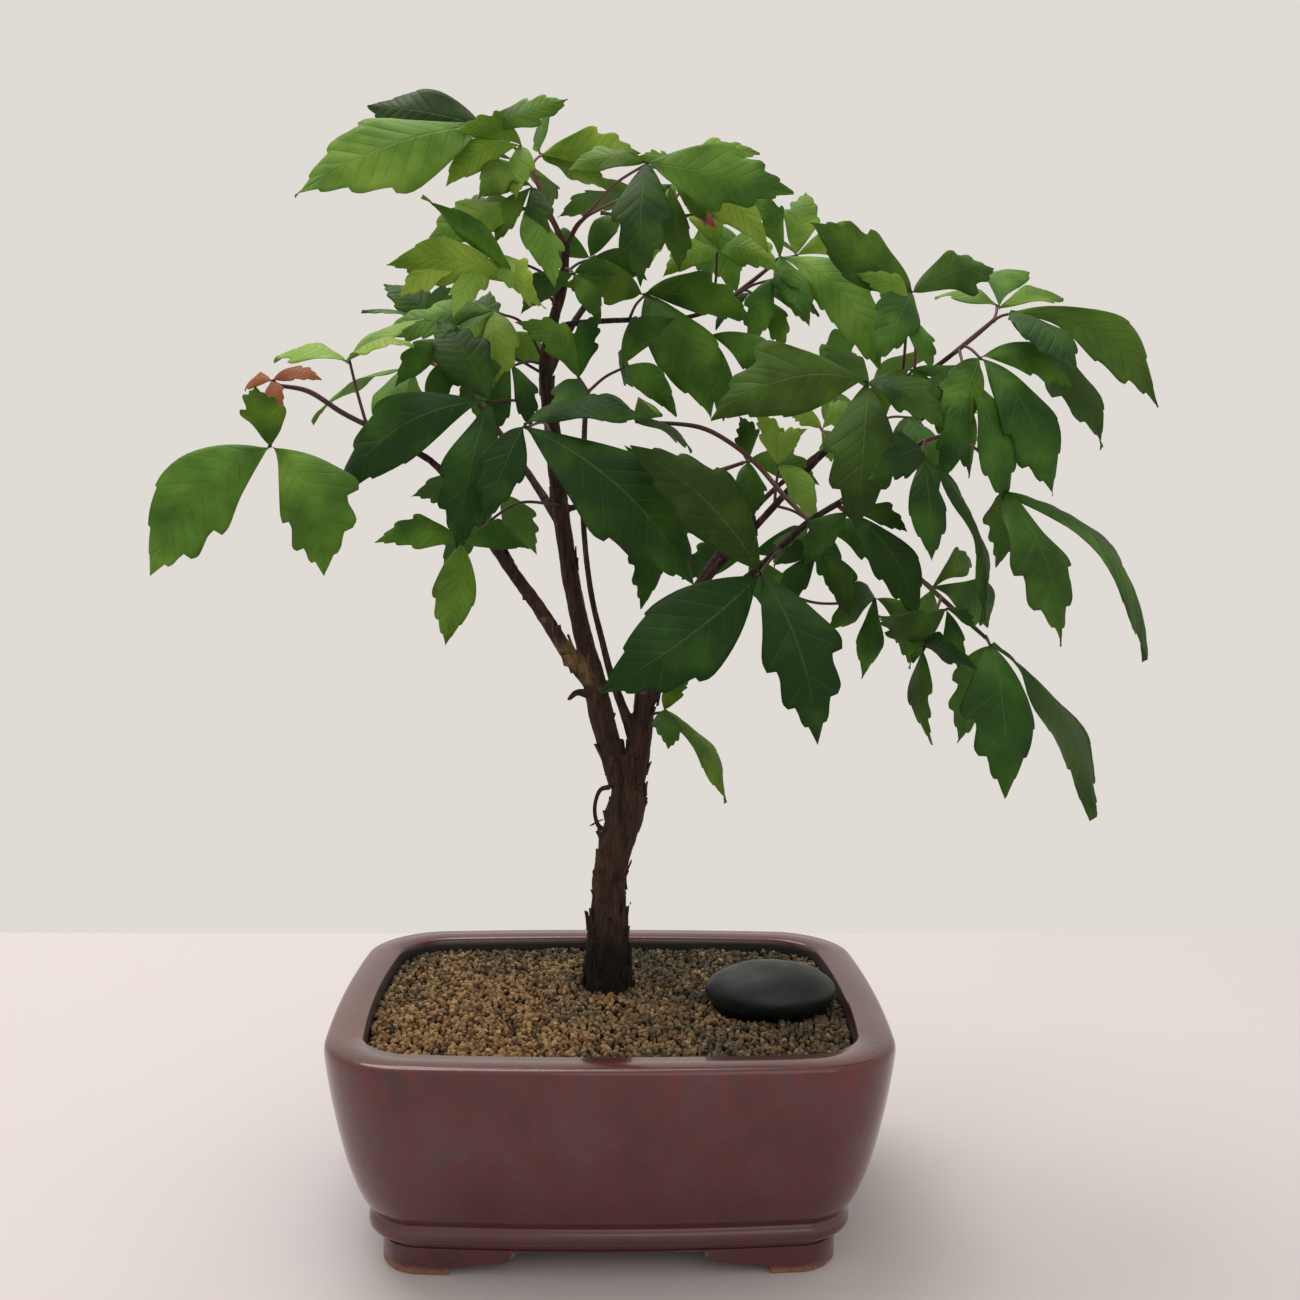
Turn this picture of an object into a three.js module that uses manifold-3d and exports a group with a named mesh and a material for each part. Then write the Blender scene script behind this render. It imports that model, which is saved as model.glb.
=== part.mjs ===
// A paperbark maple grown as a bonsai in a glazed rectangular pot, with gritty soil and a black pebble
// Millimetres, +Z up, front towards -Y. The pot stands on Z = 0.
import * as THREE from "three";
import { mergeVertices } from "three/addons/utils/BufferGeometryUtils.js";
import Module from "manifold-3d";

const wasm = await Module();
wasm.setup();

// Driving dimensions
const GAP = 0.3; // clearance between two pieces that touch
const POT = {
  width: 205,
  depth: 163,
  height: 83,
  rim: 12.9,
  bow: 4.4, // how far the middle of each side stands out
  corner: 26, // radius at the rim; it shrinks by this share of an inset, down to the least
  shrink: 0.8,
  least: 6,
};
const FLOOR = { under: 9.2, top: 19, inset: 26 };
const FOOT = {
  inset: 18.6, // from the rim's outline
  thick: 13,
  long: 27, // along each side, from the corner
  heel: 0.8,
  lobe: [29.5, 3.6], // the bracket's steps, as reach from the corner and height
  step: [42, 5],
  arch: 51,
  shorter: 8, // how much nearer the corner the step and arch are on the short sides
};
const DRAIN = { x: 42, radius: 6.5, sides: 16, screen: 26, thick: 1.2, cells: 3, hole: 6 };

// The pot's outside from its floor up to the rim, then its inside down again, as [inset, z]
const OUTSIDE = [
  [19.6, FLOOR.under],
  [18.4, 11.6],
  [18, 12.8],
  [15.2, 13.6],
  [14.2, 15],
  [14.2, 18.2],
  [15.4, 19.8],
  [14.9, 20.8],
  [12.2, 25],
  [8.3, 35],
  [5.2, 47],
  [2.9, 58.5],
  [1.2, 69],
  [0.2, 77],
  [0, 80.6],
  [0.5, 82.2],
  [1.7, POT.height],
  [POT.rim - 0.8, POT.height],
  [POT.rim, POT.height - 1],
];
const INSIDE = [
  [POT.rim, 74],
  [POT.rim - 2.5, 71],
  [POT.rim - 2.5, 56],
  [15, 38],
  [21, 25],
  [FLOOR.inset, FLOOR.top],
];
const SOIL = { edge: 76.2, crown: 78.4, slope: 0.016, bump: 0.8, rings: 5 };
const PEBBLE = { x: 61.5, y: -4, z: 84.5, length: 51, width: 38, height: 22, turn: 4 };
const BLADE = { thick: 0.68, arch: 0.12, fold: 0.2, sinus: 0.1, outer: 1.32, inner: 1.06, clear: 0.9 };
const PETIOLE = { radius: 0.85, end: 0.26, sides: 3, steps: 2, sag: 0.05, sunk: 1.2 };
const STEM = { radius: 0.95, sides: 4 };

// The eye that the plan of the tree is drawn from, and the plane through the trunk that it is drawn on.
// A plan point [x, z, y] is what the eye sees at x, z on that plane, moved along its sight line to depth y.
const EYE = new THREE.Vector3(-4.3, -564, 275);
const TRUNK_PLANE = 20;

function seen([x, z, y]) {
  const reach = (y - EYE.y) / (TRUNK_PLANE - EYE.y);
  return new THREE.Vector3(x, TRUNK_PLANE, z).sub(EYE).multiplyScalar(reach).add(EYE);
}

// Wood: each limb is a row of plan points [x, z, y, radius]
const LIMBS = {
  trunk: {
    sides: 12,
    steps: 22,
    bark: 1,
    path: [
      [-1, 50, 20, 10.6],
      [-1, 76, 20, 10.2],
      [-1, 88, 20, 9.0],
      [-1, 100, 20, 8.0],
      [-0.8, 112, 20, 6.8],
      [-1, 122, 20, 6.4],
      [0.8, 131, 20, 6.6],
      [3.2, 140, 20, 7.0],
      [5.2, 148, 20, 7.4],
      [6.3, 156, 20, 6.8],
      [6, 164, 20, 6.9],
      [5, 172, 20, 5.6],
    ],
  },
  leader: {
    sides: 8,
    steps: 18,
    bark: 0.6,
    path: [
      [3.5, 160, 20, 5],
      [-0.8, 174, 20, 4.7],
      [-4.2, 186, 20, 4.8],
      [-6.6, 197, 20, 4.7],
      [-8.5, 206, 20, 4.2],
      [-10.8, 214, 21, 3.7],
      [-14.5, 230, 22, 3.5],
      [-17.6, 246, 23, 3.4],
      [-20.3, 264, 24, 3.3],
      [-22.6, 283, 24, 3.1],
      [-24.5, 300, 24, 2.9],
      [-26.3, 314, 25, 2.8],
      [-26.5, 326, 26, 2.5],
      [-24, 338, 27, 2.2],
      [-20.5, 350, 28, 1.9],
      [-19.5, 360, 28, 1.7],
      [-19, 368, 28, 1.6],
    ],
  },
  left_branch: {
    sides: 7,
    steps: 12,
    bark: 0.5,
    path: [
      [-6.5, 198, 20, 3.8],
      [-13, 205.5, 18, 3.3],
      [-20, 215, 16, 2.9],
      [-29, 229, 12, 2.7],
      [-38.5, 242, 7, 2.4],
      [-46, 252.5, 3, 2.1],
      [-57, 270, -4, 1.7],
      [-71, 285.5, -10, 1.3],
      [-84, 292, -13, 1.15],
      [-96, 299, -16, 1],
    ],
  },
  thin_stem: {
    sides: 6,
    steps: 12,
    bark: 0.2,
    path: [
      [8.5, 178, 20, 2.8],
      [6.3, 184, 18, 2.3],
      [3.2, 192, 16, 1.8],
      [-0.5, 202, 15, 1.5],
      [-4.5, 217, 13, 1.25],
      [-8, 231, 11, 1.15],
      [-10.5, 247, 10, 1.1],
      [-12, 265, 10, 1.1],
      [-12, 285, 10, 1.1],
      [-11.5, 303, 10, 1.05],
    ],
  },
  right_stem: {
    sides: 8,
    steps: 5,
    bark: 0.6,
    path: [
      [7, 158, 20, 5.4],
      [10, 171, 20, 4.7],
      [11.6, 184, 19, 4.3],
      [13, 196, 18, 3.8],
    ],
  },
  upper_right_branch: {
    sides: 6,
    steps: 12,
    bark: 0.3,
    path: [
      [12.4, 188, 19, 3.2],
      [20, 213, 21, 2.2],
      [36.5, 241, 17, 1.6],
      [47, 252.5, 14, 1.5],
      [59, 266, 10, 1.4],
      [76, 285, 4, 1.3],
      [89, 298, 0, 1.2],
      [104, 309, -3, 1.1],
      [119, 320, -5, 1],
      [132, 330, -6, 0.95],
    ],
  },
  lower_right_branch: {
    sides: 6,
    steps: 11,
    bark: 0.3,
    path: [
      [13, 190, 18, 2.8],
      [28, 220, 6, 1.9],
      [44, 236, -6, 1.5],
      [53, 242.5, -12, 1.35],
      [64, 252.5, -18, 1.3],
      [75, 263, -22, 1.25],
      [89, 272, -26, 1.15],
      [104, 282, -30, 1.05],
      [116, 292, -33, 1],
    ],
  },
  inner_twig: {
    sides: 5,
    steps: 6,
    bark: 0,
    path: [
      [-19.5, 267, 24, 1.4],
      [-10, 269.5, 27, 1],
      [4, 274, 30, 0.95],
      [20, 278, 33, 0.9],
      [36, 281, 36, 0.85],
    ],
  },
  crown_twig: {
    sides: 5,
    steps: 7,
    bark: 0,
    path: [
      [-25, 334, 27, 1.6],
      [-19, 337, 30, 1.3],
      [-8, 338.5, 34, 1.15],
      [10, 339.5, 40, 1.05],
      [24, 340, 44, 1],
      [36, 343, 47, 0.95],
    ],
  },
  back_right_branch: {
    sides: 6,
    steps: 8,
    bark: 0.3,
    path: [
      [12, 188, 20, 3],
      [20, 214, 38, 2],
      [36, 244, 58, 1.5],
      [58, 272, 76, 1.2],
      [84, 294, 90, 1],
    ],
  },
  back_left_branch: {
    sides: 6,
    steps: 7,
    bark: 0.3,
    path: [
      [-18.5, 258, 24, 2.2],
      [-30, 276, 42, 1.6],
      [-44, 296, 60, 1.25],
      [-56, 312, 74, 1],
    ],
  },
  back_crown_branch: {
    sides: 6,
    steps: 7,
    bark: 0.2,
    path: [
      [-26, 318, 25, 1.9],
      [-16, 338, 44, 1.4],
      [-2, 356, 62, 1.15],
      [12, 368, 76, 1],
    ],
  },
  broken_stub: {
    sides: 5,
    steps: 2,
    bark: 0.6,
    path: [
      [-9, 195, 18, 1.8],
      [-14, 196, 14, 1.3],
      [-17.5, 193, 12, 0.7],
    ],
  },
};

// Leaves: a spray is a stem (or none) and its leaves. Each leaf has the point its stalk grows from, its hub,
// where the stalk ends, and the tips of its three leaflets: middle, then the two at its sides. A fourth
// number of a tip is how many degrees its leaflet is twisted about its rib.
const SPRAYS = {
  spray_far_left: {
    stem: [[-94, 298, -15.5], [-104, 303, -18], [-117, 311, -20], [-128, 313, -22]],
    leaves: [
      {
        from: [-127, 313, -22], hub: [-131, 290, -28],
        tips: [[-178, 240, -40], [-112, 241, -36], [-137, 312, -56]],
      },
      {
        from: [-95, 299, -16], hub: [-102, 322, -12],
        tips: [[-70, 339, 2], [-130, 323, 8], [-77, 329, -34]],
      },
    ],
  },
  leaf_left_low: {
    leaves: [
      {
        from: [-21, 269, 22], via: [-38, 269, 2], hub: [-59, 254, -14],
        tips: [[-65, 214, -24], [-92, 254, -22], [-33, 252, -2]],
      },
    ],
  },
  leaf_front_left: {
    leaves: [
      {
        from: [-25, 301, 22], via: [-36, 308, 4], hub: [-48, 308, -14],
        tips: [[-107, 272, -26], [-61, 252, -34], [-68, 338, 12]],
      },
    ],
  },
  leaf_front_centre: {
    leaves: [
      {
        from: [-23, 291, 21], via: [-27, 300, -8], hub: [-35, 299, -32],
        tips: [[32, 238, -36], [14, 303, -28], [-50, 262, -50]],
      },
    ],
  },
  leaf_front_low: {
    leaves: [
      {
        from: [65, 253, -18], via: [62, 250, -34], hub: [57, 243, -46],
        tips: [[-5, 196, -62], [81, 176, -66], [6, 292, -48]],
      },
    ],
  },
  leaf_trunk: {
    leaves: [
      {
        from: [13, 185, 18], hub: [20, 189, 4],
        tips: [[46, 153, 0, -14], [22, 174, -16, 35], [30, 201, -6, -30]],
      },
    ],
  },
  leaf_inner_low: {
    leaves: [
      {
        from: [-12, 273, 10], hub: [14, 264, 0],
        tips: [[11, 229, -10], [38, 256, 4], [4, 292, -4]],
      },
    ],
  },
  spray_thin_stem: {
    stem: [[-11.6, 300, 10], [-11, 307, 10], [-10.5, 313, 9]],
    leaves: [
      {
        from: [-10.5, 312, 9], hub: [-14, 317, 2],
        tips: [[-38, 338, -10], [-22, 300, -20], [-6, 342, -8]],
      },
      { from: [-10.5, 312, 9], hub: [3, 322, 8], tips: [[23, 303, -4, -25], [22, 340, -6, 25], [8, 313, 40]] },
    ],
  },
  leaf_crown_centre: {
    leaves: [
      {
        from: [5, 339.4, 38.5], hub: [10, 349, 28],
        tips: [[37, 303, 14], [52, 339, 22], [-20, 352, 8]],
      },
    ],
  },
  spray_crown_twig: {
    stem: [[34, 342.5, 46.5], [42, 347, 48], [50, 353, 50], [61, 362, 52]],
    leaves: [
      { from: [60, 361, 52], hub: [62, 364, 48], tips: [[102, 322, 34, 30], [73, 340, 24, 20], [50, 386, 30, -20]] },
      { from: [60, 361, 52], hub: [68, 364, 60], tips: [[100, 362, 78], [84, 340, 78], [72, 388, 80]] },
      { from: [37, 344, 47.2], hub: [39, 366, 44], tips: [[18, 356, 30, -20], [62, 358, 20, 25], [26, 388, 52]] },
      { from: [48, 351, 49.4], hub: [52, 350, 56], tips: [[64, 328, 54], [78, 342, 62], [38, 336, 66]] },
    ],
  },
  spray_top_right: {
    stem: [[-19, 366, 28], [-15, 374, 24], [-11, 378, 20]],
    leaves: [
      { from: [-12, 377.5, 21], hub: [11, 398, -10], tips: [[67, 388, -20, 22], [9, 353, -34], [-20, 394, 2]] },
      { from: [-12, 377.5, 21], hub: [22, 390, 16], tips: [[58, 366, 6], [54, 402, 22], [14, 362, 8]] },
    ],
  },
  spray_top_left: {
    stem: [[-19.2, 366.5, 28], [-23, 374, 27], [-27, 382, 26], [-30, 390, 25], [-32, 397, 24]],
    leaves: [
      { from: [-32, 396, 24], hub: [-50, 410, 8], tips: [[-121, 385, -16, -26], [-94, 417, 26, -26], [-19, 421, 4, 25]] },
      {
        from: [-31, 393, 25], hub: [-37, 396, 18],
        tips: [[-76, 402, 36], [-52, 384, -10], [-25, 381, 54]],
      },
      { from: [-32, 396, 24], hub: [-29, 400, 29], tips: [[9, 401, 30], [-21, 419, 56], [-3, 386, 46]] },
    ],
  },
  leaf_left_crown_high: {
    leaves: [
      {
        from: [-19.5, 362, 28], via: [-25, 376, 22], hub: [-34, 380, 10],
        tips: [[-74, 364, 8, -30], [-23, 352, -8], [-60, 382, 42, -45]],
      },
    ],
  },
  leaf_left_crown_mid: {
    leaves: [
      {
        from: [-22, 344, 27.5], via: [-29, 351, 16], hub: [-38, 353, -4],
        tips: [[-87, 358, -10], [-74, 383, -26, -32], [-28, 343, -34]],
      },
    ],
  },
  leaf_left_crown_low: {
    leaves: [
      {
        from: [-26.4, 322, 26], via: [-36, 338, 26], hub: [-46, 342, 22],
        tips: [[-66, 315, 10], [-88, 334, 36], [-44, 312, 0]],
      },
    ],
  },
  leaf_pale_inner: {
    leaves: [
      {
        from: [62, 269.5, 9], hub: [63, 285, 8],
        tips: [[79, 262, -6], [74, 299, -6], [54, 306, 2]],
      },
    ],
  },
  leaf_crown_inner: {
    leaves: [
      {
        from: [-19.6, 356, 28], hub: [-10, 362, 40],
        tips: [[12, 354, 44], [2, 380, 48], [-30, 364, 58]],
      },
    ],
  },
  leaf_right_high: {
    leaves: [
      {
        from: [115, 317, -4.5], via: [115, 336, -2], hub: [113, 351, -6],
        tips: [[74, 377, -18, -22], [145, 361, 10], [100, 325, -34]],
      },
    ],
  },
  spray_far_right: {
    stem: [[130, 328.5, -6], [139, 336, -7], [146, 342, -8]],
    leaves: [
      {
        from: [145, 341, -8], hub: [151, 344, -12],
        tips: [[211, 310, -24, -24], [178, 322, -48, 15], [190, 294, 4]],
      },
      { from: [145, 341, -8], hub: [147, 346, 2], tips: [[122, 350, 24], [152, 360, 44], [172, 350, 22]] },
      {
        from: [134, 331.5, -6.4], hub: [140, 327, -16],
        tips: [[171, 275, -34], [177, 316, -26], [128, 294, -34]],
      },
    ],
  },
  leaf_right_inner: {
    leaves: [
      {
        from: [107, 311, -3.4], hub: [113, 322, -11],
        tips: [[138, 281, -14], [140, 306, -5], [98, 300, -17]],
      },
    ],
  },
  leaf_right_front: {
    leaves: [
      {
        from: [96, 303, -1.4], via: [97, 312, -16], hub: [97, 317, -32],
        tips: [[37, 303, -38], [94, 262, -58], [127, 300, -48]],
      },
    ],
  },
  spray_lower_right_tip: {
    stem: [[113, 290, -32.2], [120, 295, -34], [127, 297, -35]],
    leaves: [
      {
        from: [120, 295, -34], hub: [119, 289, -46],
        tips: [[124, 249, -62, 42], [147, 226, -46, -22], [100, 280, -76]],
      },
      {
        from: [126, 297, -35], via: [140, 292, -34], hub: [151, 276, -34],
        tips: [[177, 216, -58, 35], [213, 212, -12, 22], [150, 247, -14, -30]],
      },
    ],
  },
  leaf_right_dark: {
    leaves: [
      {
        from: [88, 271.5, -26], hub: [91, 267, -36],
        tips: [[119, 225, -46], [114, 260, -40], [74, 246, -40]],
      },
    ],
  },
  spray_low_right: {
    stem: [[86, 270.5, -25], [103, 256, -18], [118, 243, -16], [134, 229, -22], [147, 218, -30]],
    leaves: [
      {
        from: [146, 219, -30], hub: [148, 216, -34],
        tips: [[157, 156, -70, 32], [194, 148, -28, -25], [137, 177, -18]],
      },
      {
        from: [119, 242, -16], hub: [124, 238, -10],
        tips: [[148, 222, 22], [118, 208, 10], [140, 246, 14]],
      },
      {
        from: [128, 234, -20], via: [126, 228, -30], hub: [122, 215, -38],
        tips: [[125, 176, -52, 55], [104, 226, -66], [142, 206, -66]],
      },
    ],
  },
  leaf_low_inner: {
    leaves: [
      {
        from: [53, 242.5, -12], via: [78, 232, 2], hub: [102, 234, 12],
        tips: [[98, 202, 6, 20], [117, 206, 26], [84, 220, -14]],
      },
    ],
  },
  leaf_inner_right: {
    leaves: [
      {
        from: [62, 269.5, 9], hub: [77, 263, 22],
        tips: [[86, 236, 6], [110, 242, 28, 50], [62, 246, 46]],
      },
    ],
  },
  spray_long_twig: {
    stem: [[76, 263.7, -22], [66, 273, -12], [55, 285, 0], [45, 293, 5], [33, 299, 7], [10, 301, 8]],
    leaves: [
      {
        from: [11, 301, 8], hub: [8, 301, 8],
        tips: [[-8, 309, 32], [30, 290, -10], [16, 305, -20]],
      },
    ],
  },
  spray_inner_twig: {
    stem: [[34, 280.6, 35.6], [43, 283.5, 37], [50, 286, 38]],
    leaves: [
      {
        from: [49, 285.6, 38], hub: [51, 286, 34],
        tips: [[79, 278, 20], [54, 265, 14], [48, 303, 18]],
      },
    ],
  },
  leaf_small_bright: {
    leaves: [
      {
        from: [82, 291.5, 2], hub: [80, 299, 16],
        tips: [[67, 304, 28], [84, 286, 30], [90, 309, 26]],
      },
    ],
  },
  spray_back_right: {
    stem: [[81, 291.5, 88.5], [92, 299, 96], [104, 303, 104]],
    leaves: [
      {
        from: [103, 303, 103], hub: [112, 304, 108],
        tips: [[150, 288, 112], [126, 276, 84], [116, 290, 140]],
      },
      { from: [91, 298, 95], hub: [84, 312, 108], tips: [[60, 322, 128], [90, 296, 142], [92, 342, 112]] },
      { from: [91, 298, 95], hub: [98, 314, 82], tips: [[122, 330, 60], [80, 330, 62], [128, 314, 92]] },
    ],
  },
  leaf_back_right_low: {
    leaves: [
      {
        from: [46, 257, 66], hub: [52, 250, 84],
        tips: [[64, 224, 106], [26, 240, 100], [84, 250, 98]],
      },
    ],
  },
  spray_back_left: {
    stem: [[-53.5, 309, 71.5], [-62, 318, 80], [-70, 322, 88]],
    leaves: [
      {
        from: [-69, 322, 87], hub: [-78, 320, 92],
        tips: [[-116, 300, 100], [-92, 296, 70], [-82, 298, 118]],
      },
      { from: [-61, 317, 79], hub: [-66, 332, 70], tips: [[-96, 342, 56], [-66, 352, 42], [-88, 352, 86]] },
      {
        from: [-61, 317, 79], hub: [-50, 326, 92],
        tips: [[-24, 322, 112], [-52, 300, 112], [-48, 350, 112]],
      },
    ],
  },
  leaf_back_left_low: {
    leaves: [
      {
        from: [-35, 283, 48.5], hub: [-44, 272, 62],
        tips: [[-66, 244, 76], [-78, 272, 56], [-30, 250, 84]],
      },
    ],
  },
  spray_back_crown: {
    stem: [[9.5, 366, 74], [18, 374, 82], [26, 378, 90]],
    leaves: [
      { from: [25, 378, 89], hub: [34, 378, 96], tips: [[70, 364, 104], [46, 350, 80], [36, 354, 124]] },
      { from: [17, 373, 81], hub: [8, 384, 88], tips: [[-22, 378, 110], [-16, 392, 74], [14, 362, 120]] },
      { from: [17, 373, 81], hub: [24, 388, 74], tips: [[54, 398, 62], [8, 400, 56], [46, 380, 50]] },
    ],
  },
};

// Young leaves at growing tips, still small and orange; each grows on the spray named
const YOUNG = {
  young_leaf_left: {
    on: "spray_far_left",
    leaves: [
      {
        from: [-128.2, 313.2, -22], hub: [-130.5, 314.5, -22],
        tips: [[-112, 316, -30], [-127, 303, -34], [-141, 311, -10]],
      },
    ],
  },
};

// Colours and finishes
const FINISH = {
  glaze: { color: 0x5e2b2b, roughness: 0.28, metalness: 0 },
  soil: { color: 0x8a7448, roughness: 1, metalness: 0 },
  pebble: { color: 0x16201f, roughness: 0.35, metalness: 0 },
  bark: { color: 0x3a2820, roughness: 0.9, metalness: 0 },
  leaf: { color: 0x3d6b22, roughness: 0.55, metalness: 0 },
  youngLeaf: { color: 0xb0602c, roughness: 0.55, metalness: 0 },
  screen: { color: 0x1c1c1c, roughness: 0.6, metalness: 0 },
};

// three.js geometry to a solid, and back
function solid(geometry) {
  const bare = geometry.clone();
  bare.deleteAttribute("normal");
  bare.deleteAttribute("uv");
  const merged = mergeVertices(bare, 1e-4);
  return new wasm.Manifold(
    new wasm.Mesh({
      numProp: 3,
      vertProperties: new Float32Array(merged.attributes.position.array),
      triVerts: new Uint32Array(merged.index.array),
    }),
  );
}

function geometryOf(made) {
  const mesh = made.getMesh();
  const geometry = new THREE.BufferGeometry();
  geometry.setAttribute("position", new THREE.BufferAttribute(new Float32Array(mesh.vertProperties), 3));
  geometry.setIndex(new THREE.BufferAttribute(new Uint32Array(mesh.triVerts), 1));
  geometry.computeVertexNormals();
  return geometry;
}

const fuse = (solids) => solids.reduce((all, one) => all.add(one));

// The largest connected piece, so that a scrap left by a cut is dropped
function mainPiece(made) {
  return made.decompose().reduce((best, one) => (one.volume() > best.volume() ? one : best));
}

// Pot: rings of one rounded, slightly bowed rectangle, set in from the rim's outline by different amounts
function outline(inset) {
  const [arcSteps, sideSteps] = [4, 3];
  const halfWidth = POT.width / 2 - POT.bow - inset;
  const halfDepth = POT.depth / 2 - POT.bow - inset;
  const corner = Math.max(POT.corner - inset * POT.shrink, POT.least);
  const centres = [
    [halfWidth - corner, halfDepth - corner],
    [corner - halfWidth, halfDepth - corner],
    [corner - halfWidth, corner - halfDepth],
    [halfWidth - corner, corner - halfDepth],
  ];
  const points = [];
  centres.forEach(([cx, cy], quarter) => {
    for (let i = 0; i <= arcSteps; i++) {
      const angle = ((quarter + i / arcSteps) * Math.PI) / 2;
      points.push(new THREE.Vector2(cx + corner * Math.cos(angle), cy + corner * Math.sin(angle)));
    }
    const [nx, ny] = centres[(quarter + 1) % 4];
    const turn = ((quarter + 1) * Math.PI) / 2;
    const end = new THREE.Vector2(cx + corner * Math.cos(turn), cy + corner * Math.sin(turn));
    const next = new THREE.Vector2(nx + corner * Math.cos(turn), ny + corner * Math.sin(turn));
    for (let i = 1; i < sideSteps; i++) points.push(end.clone().lerp(next, i / sideSteps));
  });
  for (const p of points) {
    const across = p.x / halfWidth;
    const along = p.y / halfDepth;
    p.x += Math.sign(p.x) * POT.bow * (1 - along * along) * Math.abs(across) ** 4;
    p.y += Math.sign(p.y) * POT.bow * (1 - across * across) * Math.abs(along) ** 4;
  }
  return points;
}

// A closed body through rings [inset, z, share]: a share under 1 shrinks a ring, and 0 closes it on the axis
function ringBody(profile) {
  const rings = profile.map(([inset, , share = 1]) =>
    outline(inset).map((p) => p.multiplyScalar(share)),
  );
  const count = rings[0].length;
  const flat = profile.map(([, z, share = 1]) => new THREE.Vector2(share, z));
  const geometry = new THREE.LatheGeometry(flat, count);
  const position = geometry.attributes.position;
  for (let i = 0; i <= count; i++)
    for (let j = 0; j < profile.length; j++) {
      const { x, y } = rings[j][i % count];
      position.setXY(i * profile.length + j, x, y);
      position.setZ(i * profile.length + j, profile[j][1]);
    }
  return geometry;
}

function potSolid() {
  const closed = [[...OUTSIDE[0], 0], ...OUTSIDE, ...INSIDE, [...INSIDE.at(-1), 0]];
  const halfWidth = POT.width / 2 - FOOT.inset;
  const halfDepth = POT.depth / 2 - FOOT.inset;
  const top = FLOOR.under + 1;
  const skirt = [
    [FOOT.inset + 1, 0, 0],
    [FOOT.inset + 1, 0],
    [FOOT.inset, 1.2],
    [FOOT.inset, top],
    [FOOT.inset, top, 0],
  ];
  const inner = box(2 * (halfWidth - FOOT.thick), 2 * (halfDepth - FOOT.thick), 2 * FLOOR.under, 0);
  const frontArches = archCutter(halfWidth, POT.depth, 0);
  const sideArches = archCutter(halfDepth, POT.width, FOOT.shorter).rotate([0, 0, 90]);
  const drains = [-1, 1].map((side) => {
    const hole = new THREE.CylinderGeometry(DRAIN.radius, DRAIN.radius, 2 * FLOOR.top, DRAIN.sides);
    return solid(hole.rotateX(Math.PI / 2).translate(side * DRAIN.x, 0, FLOOR.top));
  });
  const feet = solid(ringBody(skirt)).subtract(fuse([inner, frontArches, sideArches]));
  return solid(ringBody(closed)).add(feet).subtract(fuse(drains));
}

// What is cut away between two feet: an opening with a stepped bracket at each end
function archCutter(half, through, shorter) {
  const foot = half - FOOT.long;
  const [lobe, lobeHeight] = [half - FOOT.lobe[0], FOOT.lobe[1]];
  const [step, stepHeight] = [half - FOOT.step[0] + shorter, FOOT.step[1]];
  const arch = half - FOOT.arch + shorter;
  const shape = new THREE.Shape();
  shape.moveTo(-foot, -1).lineTo(-foot, FOOT.heel);
  shape.quadraticCurveTo(-foot, lobeHeight, -lobe, lobeHeight).lineTo(-step, stepHeight);
  shape.quadraticCurveTo(-arch, stepHeight, -arch, FLOOR.under);
  shape.lineTo(arch, FLOOR.under).quadraticCurveTo(arch, stepHeight, step, stepHeight);
  shape.lineTo(lobe, lobeHeight).quadraticCurveTo(foot, lobeHeight, foot, FOOT.heel);
  shape.lineTo(foot, -1).closePath();
  const cut = { depth: through, bevelEnabled: false, curveSegments: 3 };
  const geometry = new THREE.ExtrudeGeometry(shape, cut);
  return solid(geometry.translate(0, 0, -through / 2).rotateX(Math.PI / 2));
}

function box(x, y, z, centreZ) {
  return solid(new THREE.BoxGeometry(x, y, z).translate(0, 0, centreZ));
}

// A square of plastic mesh over a drain hole
function screenSolid(side) {
  const plate = box(DRAIN.screen, DRAIN.screen, DRAIN.thick, 0);
  const pitch = DRAIN.screen / DRAIN.cells;
  const holes = [];
  for (let i = 0; i < DRAIN.cells; i++)
    for (let j = 0; j < DRAIN.cells; j++) {
      const [x, y] = [i, j].map((n) => pitch * (n + 0.5) - DRAIN.screen / 2);
      holes.push(box(DRAIN.hole, DRAIN.hole, 2 * DRAIN.thick, 0).translate([x, y, 0]));
    }
  return plate.subtract(fuse(holes)).translate([side * DRAIN.x, 0, FLOOR.top + GAP + DRAIN.thick / 2]);
}

// A round stem: a cylinder bent along a curve through the points, with a radius for each, and bark ridges
function bent(points, radii, { sides, steps, bark = 0 }) {
  const curve = new THREE.CatmullRomCurve3(points, false, "centripetal");
  const frames = curve.computeFrenetFrames(steps);
  const geometry = new THREE.CylinderGeometry(1, 1, 1, sides, steps);
  const position = geometry.attributes.position;
  const spot = new THREE.Vector3();
  for (let i = 0; i < position.count; i++) {
    spot.fromBufferAttribute(position, i);
    const ring = Math.round((spot.y + 0.5) * steps);
    const along = curve.getUtoTmapping(ring / steps) * (radii.length - 1);
    const lower = Math.min(Math.floor(along), radii.length - 2);
    const radius = THREE.MathUtils.lerp(radii[lower], radii[lower + 1], along - lower);
    const centre = curve.getPointAt(ring / steps);
    const angle = Math.atan2(spot.z, spot.x);
    const ridge = 0.09 * Math.sin(3 * angle + centre.z / 9) + 0.07 * Math.sin(7 * angle - centre.z / 4);
    const reach = radius * (1 + bark * ridge);
    centre.addScaledVector(frames.normals[ring], spot.x * reach);
    centre.addScaledVector(frames.binormals[ring], -spot.z * reach);
    position.setXYZ(i, centre.x, centre.y, centre.z);
  }
  return solid(geometry);
}

const limb = (plan, extra = 0) => bent(plan.path.map(seen), plan.path.map((p) => p[3] + extra), plan);

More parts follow.
